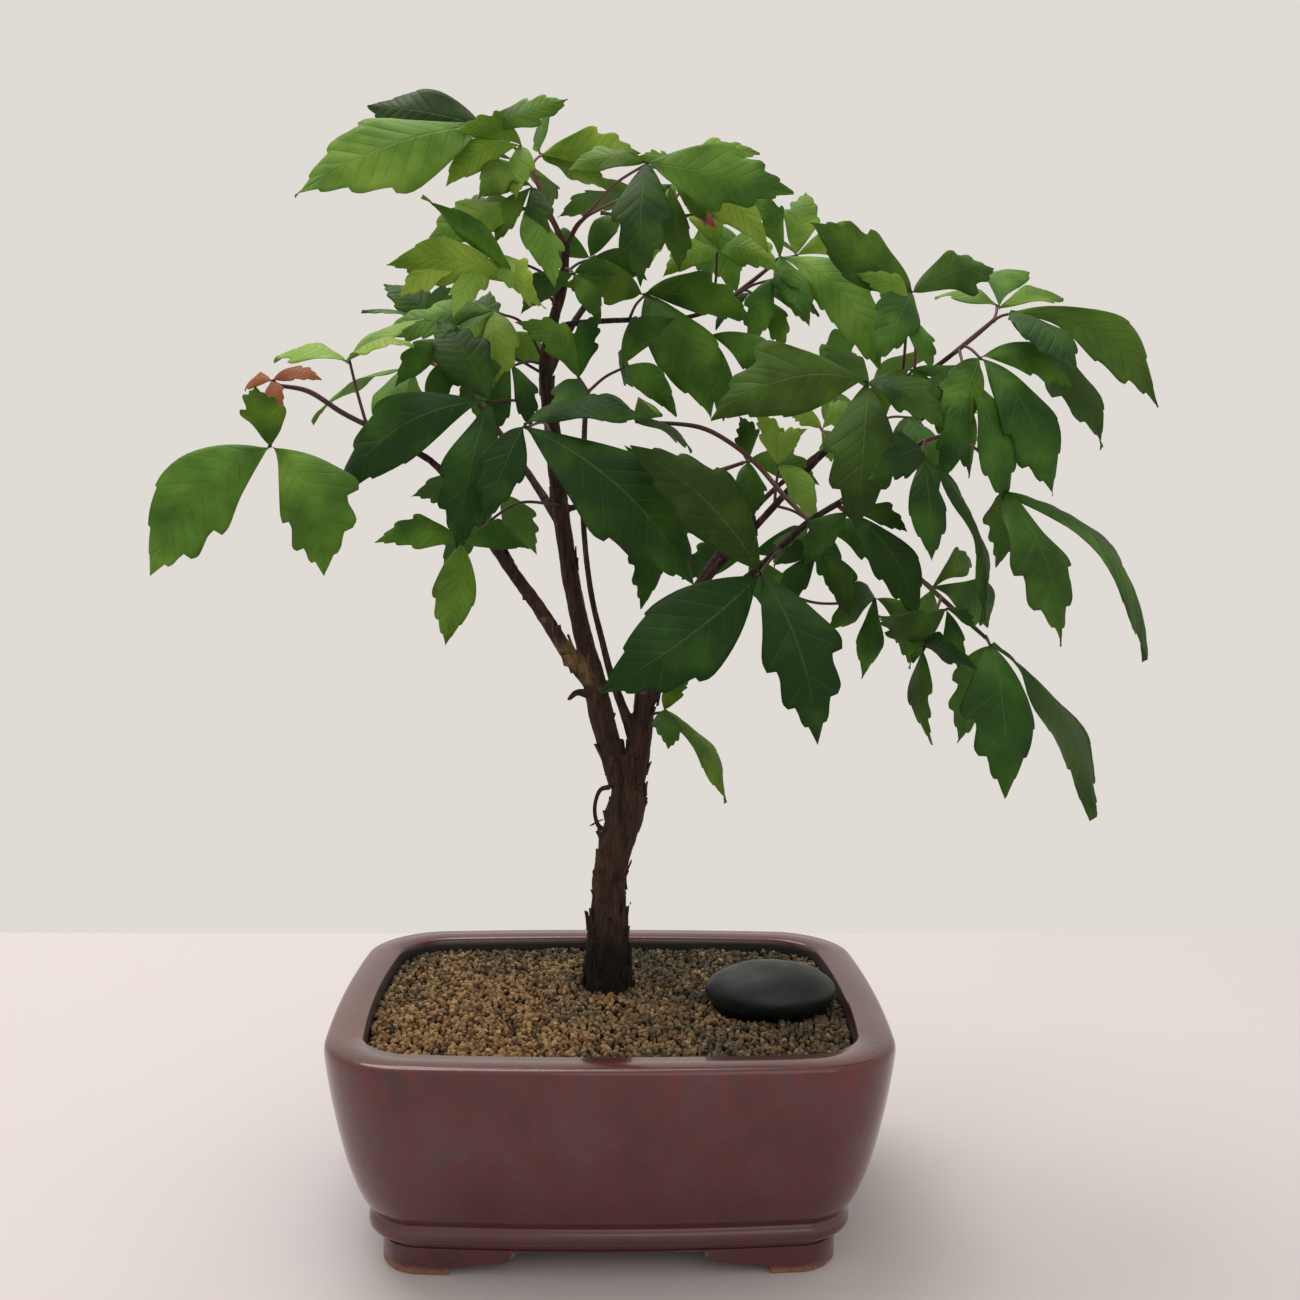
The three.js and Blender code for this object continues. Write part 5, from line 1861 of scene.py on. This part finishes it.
SPRAYS = (
    Spray("spray_far_left", (
        Leaf((-127, 313, -22), (-131, 290, -28), ((-178, 240, -40), (-112, 241, -36), (-137, 312, -56)),
             tone=Tone.BRIGHT, shades=(0, 0, -0.4), bows=(0.75, 1.7, 1), widths=(1.1, 1.45, 1)),
        Leaf((-95, 299, -16), (-102, 322, -12), ((-70, 339, 2), (-130, 323, 8), (-77, 329, -34)),
             tone=Tone.SUNLIT),
    ), stem=((-94, 298, -15.5), (-104, 303, -18), (-117, 311, -20), (-128, 313, -22))),
    Spray("leaf_left_low", (
        Leaf((-21, 269, 22), (-59, 254, -14), ((-65, 214, -24), (-92, 254, -22), (-33, 252, -2)),
             via=(-38, 269, 2), shades=(0.2, 0.1, 0.1)),
    )),
    Spray("leaf_front_left", (
        Leaf((-25, 301, 22), (-48, 308, -14), ((-107, 272, -26), (-61, 252, -34), (-68, 338, 12)),
             via=(-36, 308, 4), tone=Tone.DARK),
    )),
    Spray("leaf_front_centre", (
        Leaf((-23, 291, 21), (-35, 299, -32), ((32, 238, -36), (14, 303, -28, -45), (-50, 262, -50)),
             via=(-27, 300, -8), tone=Tone.DARK, bows=(0.5, 1, 1)),
    )),
    Spray("leaf_front_low", (
        Leaf((65, 253, -18), (57, 243, -46), ((-5, 196, -62), (81, 176, -66), (6, 292, -48)),
             via=(62, 250, -34), tone=Tone.DARK,
             shades=(0, 0, -0.3), bows=(-0.4, 1.7, 0.4), widths=(1.1, 1, 0.8)),
    )),
    Spray("leaf_trunk", (
        Leaf((13, 185, 18), (20, 189, 4), ((46, 153, 0, -30), (22, 174, -16, 35), (30, 201, -6, -30)),
             bows=(1.5, 1, 1), widths=(1.1, 1.3, 1)),
    )),
    Spray("leaf_inner_low", (
        Leaf((-12, 273, 10), (14, 264, 0), ((11, 229, -10), (38, 256, 4), (4, 292, -4))),
    )),
    Spray("spray_thin_stem", (
        Leaf((-10.5, 312, 9), (-14, 317, 2), ((-38, 338, -10), (-22, 300, -20), (-6, 342, -8))),
        Leaf((-10.5, 312, 9), (3, 322, 8), ((23, 303, -4, -25), (22, 340, -6, 25), (8, 313, 40))),
    ), stem=((-11.6, 300, 10), (-11, 307, 10), (-10.5, 313, 9))),
    Spray("leaf_crown_centre", (
        Leaf((5, 339.4, 38.5), (10, 349, 28), ((37, 303, 14), (52, 339, 22, 45), (-20, 352, 8)),
             bows=(1.4, 1, 0.5), widths=(1.15, 1, 1)),
    )),
    Spray("spray_crown_twig", (
        Leaf((60, 361, 52), (62, 364, 48), ((102, 322, 34, 30), (73, 340, 24, 20), (50, 386, 30, -20)),
             tone=Tone.BRIGHT),
        Leaf((60, 361, 52), (68, 364, 60), ((100, 362, 78), (84, 340, 78), (72, 388, 80)), tone=Tone.BRIGHT),
        Leaf((37, 344, 47.2), (39, 366, 44), ((18, 356, 30, -20), (62, 358, 20, 25), (26, 388, 52)),
             tone=Tone.BRIGHT),
        Leaf((48, 351, 49.4), (52, 350, 56), ((64, 328, 54), (78, 342, 62), (38, 336, 66))),
    ), stem=((34, 342.5, 46.5), (42, 347, 48), (50, 353, 50), (61, 362, 52))),
    Spray("spray_top_right", (
        Leaf((-12, 377.5, 21), (11, 398, -10), ((67, 388, -20, 22), (9, 353, -34), (-20, 394, 2)),
             tone=Tone.DARK, shades=(0.5, 0, 0.3), bows=(-0.3, 1, 0.4)),
        Leaf((-12, 377.5, 21), (22, 390, 16), ((58, 366, 6), (54, 402, 22), (14, 362, 8)), tone=Tone.BRIGHT),
    ), stem=((-19, 366, 28), (-15, 374, 24), (-11, 378, 20))),
    Spray("spray_top_left", (
        Leaf((-32, 396, 24), (-50, 410, 8), ((-121, 385, -16, -26), (-94, 417, 26, -26), (-19, 421, 4, 25)),
             tone=Tone.BRIGHT, shades=(-0.1, -0.55, -0.1), bows=(-0.2, -0.4, -0.9)),
        Leaf((-31, 393, 25), (-37, 396, 18), ((-76, 402, 36), (-52, 384, -10), (-25, 381, 54))),
        Leaf((-32, 396, 24), (-29, 400, 29), ((9, 401, 30), (-21, 419, 56), (-3, 386, 46)), tone=Tone.BRIGHT,
             bows=(0.2, 0.4, 1)),
    ), stem=((-19.2, 366.5, 28), (-23, 374, 27), (-27, 382, 26), (-30, 390, 25), (-32, 397, 24))),
    Spray("leaf_left_crown_high", (
        Leaf((-19.5, 362, 28), (-34, 380, 10), ((-74, 364, 8, -30), (-23, 352, -8), (-60, 382, 42, -45)),
             via=(-25, 376, 22), tone=Tone.BRIGHT, bows=(0.4, 1, -1.2)),
    )),
    Spray("leaf_left_crown_mid", (
        Leaf((-22, 344, 27.5), (-38, 353, -4), ((-87, 358, -10), (-74, 383, -26, -32), (-28, 343, -34)),
             via=(-29, 351, 16), tone=Tone.BRIGHT),
    )),
    Spray("leaf_left_crown_low", (
        Leaf((-26.4, 322, 26), (-46, 342, 22), ((-66, 315, 10), (-88, 334, 36), (-44, 312, 0)),
             via=(-36, 338, 26), tone=Tone.BRIGHT, bows=(1, -0.6, 1)),
    )),
    Spray("leaf_pale_inner", (
        Leaf((62, 269.5, 9), (63, 285, 8), ((79, 262, -6), (74, 299, -6), (54, 306, 2)), tone=Tone.SUNLIT),
    )),
    Spray("leaf_crown_inner", (
        Leaf((-19.6, 356, 28), (-10, 362, 40), ((12, 354, 44), (2, 380, 48), (-30, 364, 58))),
    )),
    Spray("leaf_right_high", (
        Leaf((115, 317, -4.5), (113, 351, -6), ((74, 377, -18, -22), (145, 361, 10), (100, 325, -34)),
             via=(115, 336, -2), bows=(-0.2, 0.4, 1)),
    )),
    Spray("spray_far_right", (
        Leaf((145, 341, -8), (151, 344, -12), ((211, 310, -24, -24), (178, 322, -48, 15), (190, 294, 4, 30)),
             bows=(1.7, 0.4, 1)),
        Leaf((145, 341, -8), (147, 346, 2), ((122, 350, 24), (152, 360, 44), (172, 350, 22)),
             tone=Tone.BRIGHT),
        Leaf((134, 331.5, -6.4), (140, 327, -16), ((171, 275, -34), (177, 316, -26), (128, 294, -34))),
    ), stem=((130, 328.5, -6), (139, 336, -7), (146, 342, -8))),
    Spray("leaf_right_inner", (
        Leaf((107, 311, -3.4), (113, 322, -11), ((138, 281, -14), (140, 306, -5), (98, 300, -17))),
    )),
    Spray("leaf_right_front", (
        Leaf((96, 303, -1.4), (97, 317, -32), ((37, 303, -38), (94, 262, -58), (127, 300, -48)),
             via=(97, 312, -16), tone=Tone.DARK, bows=(0.9, 1, 1), widths=(1.15, 1.1, 1.1)),
    )),
    Spray("spray_lower_right_tip", (
        Leaf((120, 295, -34), (119, 289, -46), ((124, 249, -62, 42), (147, 226, -46, -22), (100, 280, -76)),
             tone=Tone.DARK),
        Leaf((126, 297, -35), (151, 276, -34), ((177, 216, -58, 24), (213, 212, -12, 8),
              (150, 247, -14, -30)),
             via=(140, 292, -34), bows=(1.6, 1.35, 1), widths=(1, 1.2, 1)),
    ), stem=((113, 290, -32.2), (120, 295, -34), (127, 297, -35))),
    Spray("leaf_right_dark", (
        Leaf((88, 271.5, -26), (91, 267, -36), ((119, 225, -46), (114, 260, -40), (74, 246, -40)),
             tone=Tone.DARK),
    )),
    Spray("spray_low_right", (
        Leaf((146, 219, -30), (148, 216, -34), ((157, 156, -70, 32), (194, 148, -28, -12), (137, 177, -18)),
             bows=(0.6, 2.4, 1), widths=(1, 1.5, 1)),
        Leaf((119, 242, -16), (124, 238, -10), ((148, 222, 22), (118, 208, 10), (140, 246, 14))),
        Leaf((128, 234, -20), (122, 215, -38), ((125, 176, -52, 55), (104, 226, -66), (142, 206, -66)),
             via=(126, 228, -30), tone=Tone.DARK),
    ), stem=((86, 270.5, -25), (103, 256, -18), (118, 243, -16), (134, 229, -22), (147, 218, -30))),
    Spray("leaf_low_inner", (
        Leaf((53, 242.5, -12), (102, 234, 12), ((98, 202, 6, 20), (117, 206, 26), (84, 220, -14)),
             via=(78, 232, 2)),
    )),
    Spray("leaf_inner_right", (
        Leaf((62, 269.5, 9), (77, 263, 22), ((86, 236, 6), (110, 242, 28, 50), (62, 246, 46))),
    )),
    Spray("spray_long_twig", (
        Leaf((11, 301, 8), (8, 301, 8), ((-8, 309, 32), (30, 290, -10), (16, 305, -20))),
    ), stem=((76, 263.7, -22), (66, 273, -12), (55, 285, 0), (45, 293, 5), (33, 299, 7), (10, 301, 8))),
    Spray("spray_inner_twig", (
        Leaf((49, 285.6, 38), (51, 286, 34), ((79, 278, 20), (54, 265, 14), (48, 303, 18))),
    ), stem=((34, 280.6, 35.6), (43, 283.5, 37), (50, 286, 38))),
    Spray("leaf_small_bright", (
        Leaf((82, 291.5, 2), (80, 299, 16), ((67, 304, 28), (84, 286, 30), (90, 309, 26)), tone=Tone.SUNLIT),
    )),
    Spray("spray_back_right", (
        Leaf((103, 303, 103), (112, 304, 108), ((150, 288, 112), (126, 276, 84), (116, 290, 140))),
        Leaf((91, 298, 95), (84, 312, 108), ((60, 322, 128), (90, 296, 142), (92, 342, 112)),
             tone=Tone.BRIGHT),
        Leaf((91, 298, 95), (98, 314, 82), ((122, 330, 60), (80, 330, 62), (128, 314, 92))),
    ), stem=((81, 291.5, 88.5), (92, 299, 96), (104, 303, 104))),
    Spray("leaf_back_right_low", (
        Leaf((46, 257, 66), (52, 250, 84), ((64, 224, 106), (26, 240, 100), (84, 250, 98))),
    )),
    Spray("spray_back_left", (
        Leaf((-69, 322, 87), (-78, 320, 92), ((-116, 300, 100), (-92, 296, 70), (-82, 298, 118)),
             tone=Tone.BRIGHT),
        Leaf((-61, 317, 79), (-66, 332, 70), ((-96, 342, 56), (-66, 352, 42), (-88, 352, 86))),
        Leaf((-61, 317, 79), (-50, 326, 92), ((-24, 322, 112), (-52, 300, 112), (-48, 350, 112))),
    ), stem=((-53.5, 309, 71.5), (-62, 318, 80), (-70, 322, 88))),
    Spray("leaf_back_left_low", (
        Leaf((-35, 283, 48.5), (-44, 272, 62), ((-66, 244, 76), (-78, 272, 56), (-30, 250, 84))),
    )),
    Spray("spray_back_crown", (
        Leaf((25, 378, 89), (34, 378, 96), ((70, 364, 104), (46, 350, 80), (36, 354, 124)), tone=Tone.BRIGHT),
        Leaf((17, 373, 81), (8, 384, 88), ((-22, 378, 110), (-16, 392, 74), (14, 362, 120))),
        Leaf((17, 373, 81), (24, 388, 74), ((54, 398, 62), (8, 400, 56), (46, 380, 50)), tone=Tone.BRIGHT),
    ), stem=((9.5, 366, 74), (18, 374, 82), (26, 378, 90))),
)

YOUNG_LEAF = Spray("young_leaf_left", (
    Leaf((-128.2, 313.2, -22), (-130.5, 314.5, -22), ((-112, 316, -30), (-127, 303, -34), (-141, 311, -10))),
))

CROWN_FILLING = Spray("crown_filling", (
    Leaf((-29, 387, 25.5), (-36, 403, 14), ((-64, 388, 2), (-60, 408, -4), (-38, 384, -2)), tone=Tone.BRIGHT),
    Leaf((-20, 369, 28), (-32, 388, 16), ((-46, 368, 4), (-28, 362, 0), (-50, 384, 2))),
    Leaf((-20, 352, 28), (-46, 362, 2), ((-82, 347, -10), (-62, 340, -14), (-34, 348, -14)),
         tone=Tone.SUNLIT),
    Leaf((-19.6, 358, 28), (-16, 356, 10), ((-6, 338, 0), (-36, 341, 2), (0, 356, 0))),
    Leaf((0, 379, 19), (20, 390, 2), ((24, 358, -6), (34, 376, -8), (8, 372, -8))),
    Leaf((44, 348, 48.6), (60, 356, 38), ((52, 330, 30), (74, 338, 30), (70, 352, 28)), tone=Tone.BRIGHT),
    Leaf((24, 340, 44), (36, 334, 26), ((42, 302, 14), (62, 312, 16), (30, 316, 12))),
    Leaf((110, 313, -4), (112, 341, -14), ((92, 358, -20), (122, 322, -24), (100, 336, -24)),
         tone=Tone.BRIGHT),
    Leaf((132, 330, -6), (134, 321, -22), ((152, 270, -36), (128, 280, -38), (118, 302, -30))),
    Leaf((134, 229, -22), (130, 230, -34), ((116, 211, -42), (136, 206, -40), (142, 222, -38))),
    Leaf((75, 263, -22), (80, 252, -22), ((66, 228, -26), (92, 226, -28), (62, 246, -30)), tone=Tone.DARK),
    Leaf((-26.4, 322, 26), (-40, 322, 6), ((-46, 296, -4), (-32, 298, -2), (-60, 308, -2))),
    Leaf((-26.3, 318, 25), (-56, 330, 10), ((-84, 313, 2), (-72, 303, 0), (-66, 332, 0))),
))

NEW_GROWTH = Spray("new_growth", (
    Leaf((-6, 379, 20.4), (30, 378, 10), ((38, 388, 4), (26, 389, 8), (38, 374, 4)), via=(12, 377, 16)),
))


@dataclass(frozen=True)
class Foliage:
    """Leaves on their stalks and stems, one piece for each of the part's leafy nodes."""

    blade: Blade = Blade()
    stalk: Point = (0.95, 0.62, 0.56, 0.5)
    stem: float = 0.95
    sag: float = 0.05
    sunk: float = 1.2
    first_rib: float = 0.38
    step: float = 1.6
    sides: int = 8
    seed: int = 11

    def stalk_line(self, leaf: Leaf) -> Line:
        """Returns the places along a leaf's stalk, with the radius at each."""
        start, hub = seen(leaf.start), seen(leaf.hub)
        if leaf.via:
            middle = seen(leaf.via)
        else:
            middle = start.lerp(hub, 0.5) + Vector((0, 0, self.sag * (hub - start).length))
        chord = seen(leaf.tips[0]) - hub
        facing, twist = leaf.facing(), math.radians(sum(leaf.tips[0][3:]))
        flat = (facing - chord * facing.dot(chord) / chord.length_squared).normalized()
        up = Matrix.Rotation(twist, 3, chord.normalized()) @ flat
        share = self.first_rib
        rib = chord * share + self.blade.bend(chord, up, leaf.bows[0]) * (4 * share * (1 - share))
        end = hub + rib.normalized() * self.sunk
        near = start.lerp(middle, 0.15)
        return stations([start, near, middle, end], self.stalk, self.step)

    def woody(self, spray: Spray) -> list[Line]:
        """Returns the lines of a spray's stem and stalks."""
        lines = [self.stalk_line(leaf) for leaf in spray.leaves]
        if spray.stem:
            radii = [self.stem] * (len(spray.stem) - 1) + [self.stem * 0.75]
            lines.append(stations([seen(p) for p in spray.stem], radii, self.step))
        return lines

    def spray(
        self, spray: Spray, tubes: TubeRecipe, skin: Material, stalks: Material,
        slot: str, dice: random.Random,
    ) -> None:
        """Builds one spray.

        Args:
            spray: The spray.
            tubes: The recipe for stems.
            skin: The leaves' material.
            stalks: The stalks' material.
            slot: The record's slot of the leaves.
            dice: The source of small differences.
        """
        sheets = Sheets()
        for leaf in spray.leaves:
            self.blade.leaf(sheets, leaf, dice)
        leaves = sheets.build(spray.name + "_leaves", skin)
        woody = tubes.grow(spray.name + "_stalks", self.woody(spray), self.sides, stalks)
        nodes = [spray.name] if spray.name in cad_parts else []
        settle(joined(spray.name + "_foliage", [leaves, woody]), slot, *nodes)

    def build(self, tubes: TubeRecipe) -> None:
        """Builds all the foliage.

        Args:
            tubes: The recipe for stems.
        """
        skin, young = LeafSkin().material(), LeafSkin.young().material()
        stalks = StalkSkin().material()
        dice = random.Random(self.seed)
        for spray in SPRAYS:
            self.spray(spray, tubes, skin, stalks, "leaf", dice)
        self.spray(YOUNG_LEAF, tubes, young, stalks, "young_leaf", dice)
        self.spray(CROWN_FILLING, tubes, skin, stalks, "leaf", dice)
        self.spray(NEW_GROWTH, tubes, LeafSkin.bud().material(), stalks, "young_leaf", dice)


@dataclass(frozen=True)
class Studio:
    """The pale ground, the soft light from above and the camera at the photograph's angle."""

    ground: tuple[float, float, float] = (0.9, -1.4, 0.32)
    lens: float = 41.7
    turn: float = 1.83
    dip: float = 6.07
    tilt: float = 0.61
    warm_white: Colour = rgb(224, 219, 212)
    brightness: float = 1.0
    aim: Point = (0, 0, 0.2)
    sensor: float = 36.0
    clip: Point = (0.01, 20)

    def floor(self) -> None:
        """Lays the ground."""
        wide, near, far = self.ground
        mesh = bpy.data.meshes.new("ground")
        corners = [(-wide, near, 0), (wide, near, 0), (wide, far, 0), (-wide, far, 0)]
        mesh.from_pydata(corners, [], [(0, 1, 2, 3)])
        mesh.materials.append(PaleGround().material())
        placed("ground", mesh)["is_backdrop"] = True

    def light(self, name: str, place: Point, power: float, size: float, colour: Point) -> None:
        """Hangs a square area light that points at the tree.

        Args:
            name: Its name.
            place: Where it hangs, in metres.
            power: Its power in watts.
            size: The length of its side in metres.
            colour: Its colour.
        """
        lamp = bpy.data.lights.new(name, "AREA")
        lamp.energy, lamp.size, lamp.color = power, size, colour
        made = placed(name, lamp)
        made.location = place
        made.rotation_euler = (Vector(self.aim) - Vector(place)).to_track_quat("-Z", "Y").to_euler()

    def sky(self) -> None:
        """Sets the even pale light from all sides."""
        world = bpy.data.worlds.new("studio")
        world.use_nodes = True
        background = world.node_tree.nodes["Background"]
        background.inputs["Color"].default_value = self.warm_white
        background.inputs["Strength"].default_value = self.brightness
        bpy.context.scene.world = world

    def camera(self) -> None:
        """Sets up the camera."""
        turn, dip, tilt = (math.radians(a) for a in (self.turn, self.dip, self.tilt))
        ahead = Vector((math.sin(turn) * math.cos(dip), math.cos(turn) * math.cos(dip), -math.sin(dip)))
        level = Vector((math.cos(turn), -math.sin(turn), 0))
        upright = level.cross(ahead)
        right = level * math.cos(tilt) + upright * math.sin(tilt)
        up = upright * math.cos(tilt) - level * math.sin(tilt)
        lens = bpy.data.cameras.new("camera")
        lens.sensor_width, lens.lens = self.sensor, self.lens
        lens.clip_start, lens.clip_end = self.clip
        made = placed("camera", lens)
        made.matrix_world = Matrix((
            (right.x, up.x, -ahead.x, 0), (right.y, up.y, -ahead.y, 0), (right.z, up.z, -ahead.z, 0),
            (0, 0, 0, 1),
        ))
        made.location = (EYE + POT_MIDDLE) * MM
        bpy.context.scene.camera = made

    def build(self) -> None:
        """Sets up the whole studio."""
        bpy.context.scene.view_settings.view_transform = "Standard"
        self.floor()
        self.sky()
        self.light("overhead", (-0.35, 0.35, 1.6), power=19, size=1.1, colour=(1.0, 0.99, 0.97))
        self.light("front", (0.5, -1.9, 1.1), power=5, size=1.4, colour=(1.0, 0.98, 0.96))
        self.camera()


def dress_screens() -> None:
    """Gives the drain screens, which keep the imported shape, their plastic."""
    plastic = ScreenPlastic().material()
    for side in ("left", "right"):
        dress(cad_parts[f"drain_screen_{side}"].data, plastic)


def main() -> None:
    """Builds the looks, piece by piece."""
    logging.basicConfig(level=logging.INFO, format="%(name)s: %(message)s")
    Studio().build()
    pot, pebble, tubes = Pot(), Pebble(), TubeRecipe()
    pot.build(OxbloodGlaze())
    dress_screens()
    SoilBed(pot, pebble).build(Grit(), WetSoil())
    pebble.build(RiverStone())
    Wood().build(tubes, FlakingBark())
    Foliage().build(tubes)
    found = {"cad": cad_bounds, "visual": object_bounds()}
    boxes = {name: [list(corner) for corner in box] for name, box in found.items()}


if __name__ == "__main__":
    main()
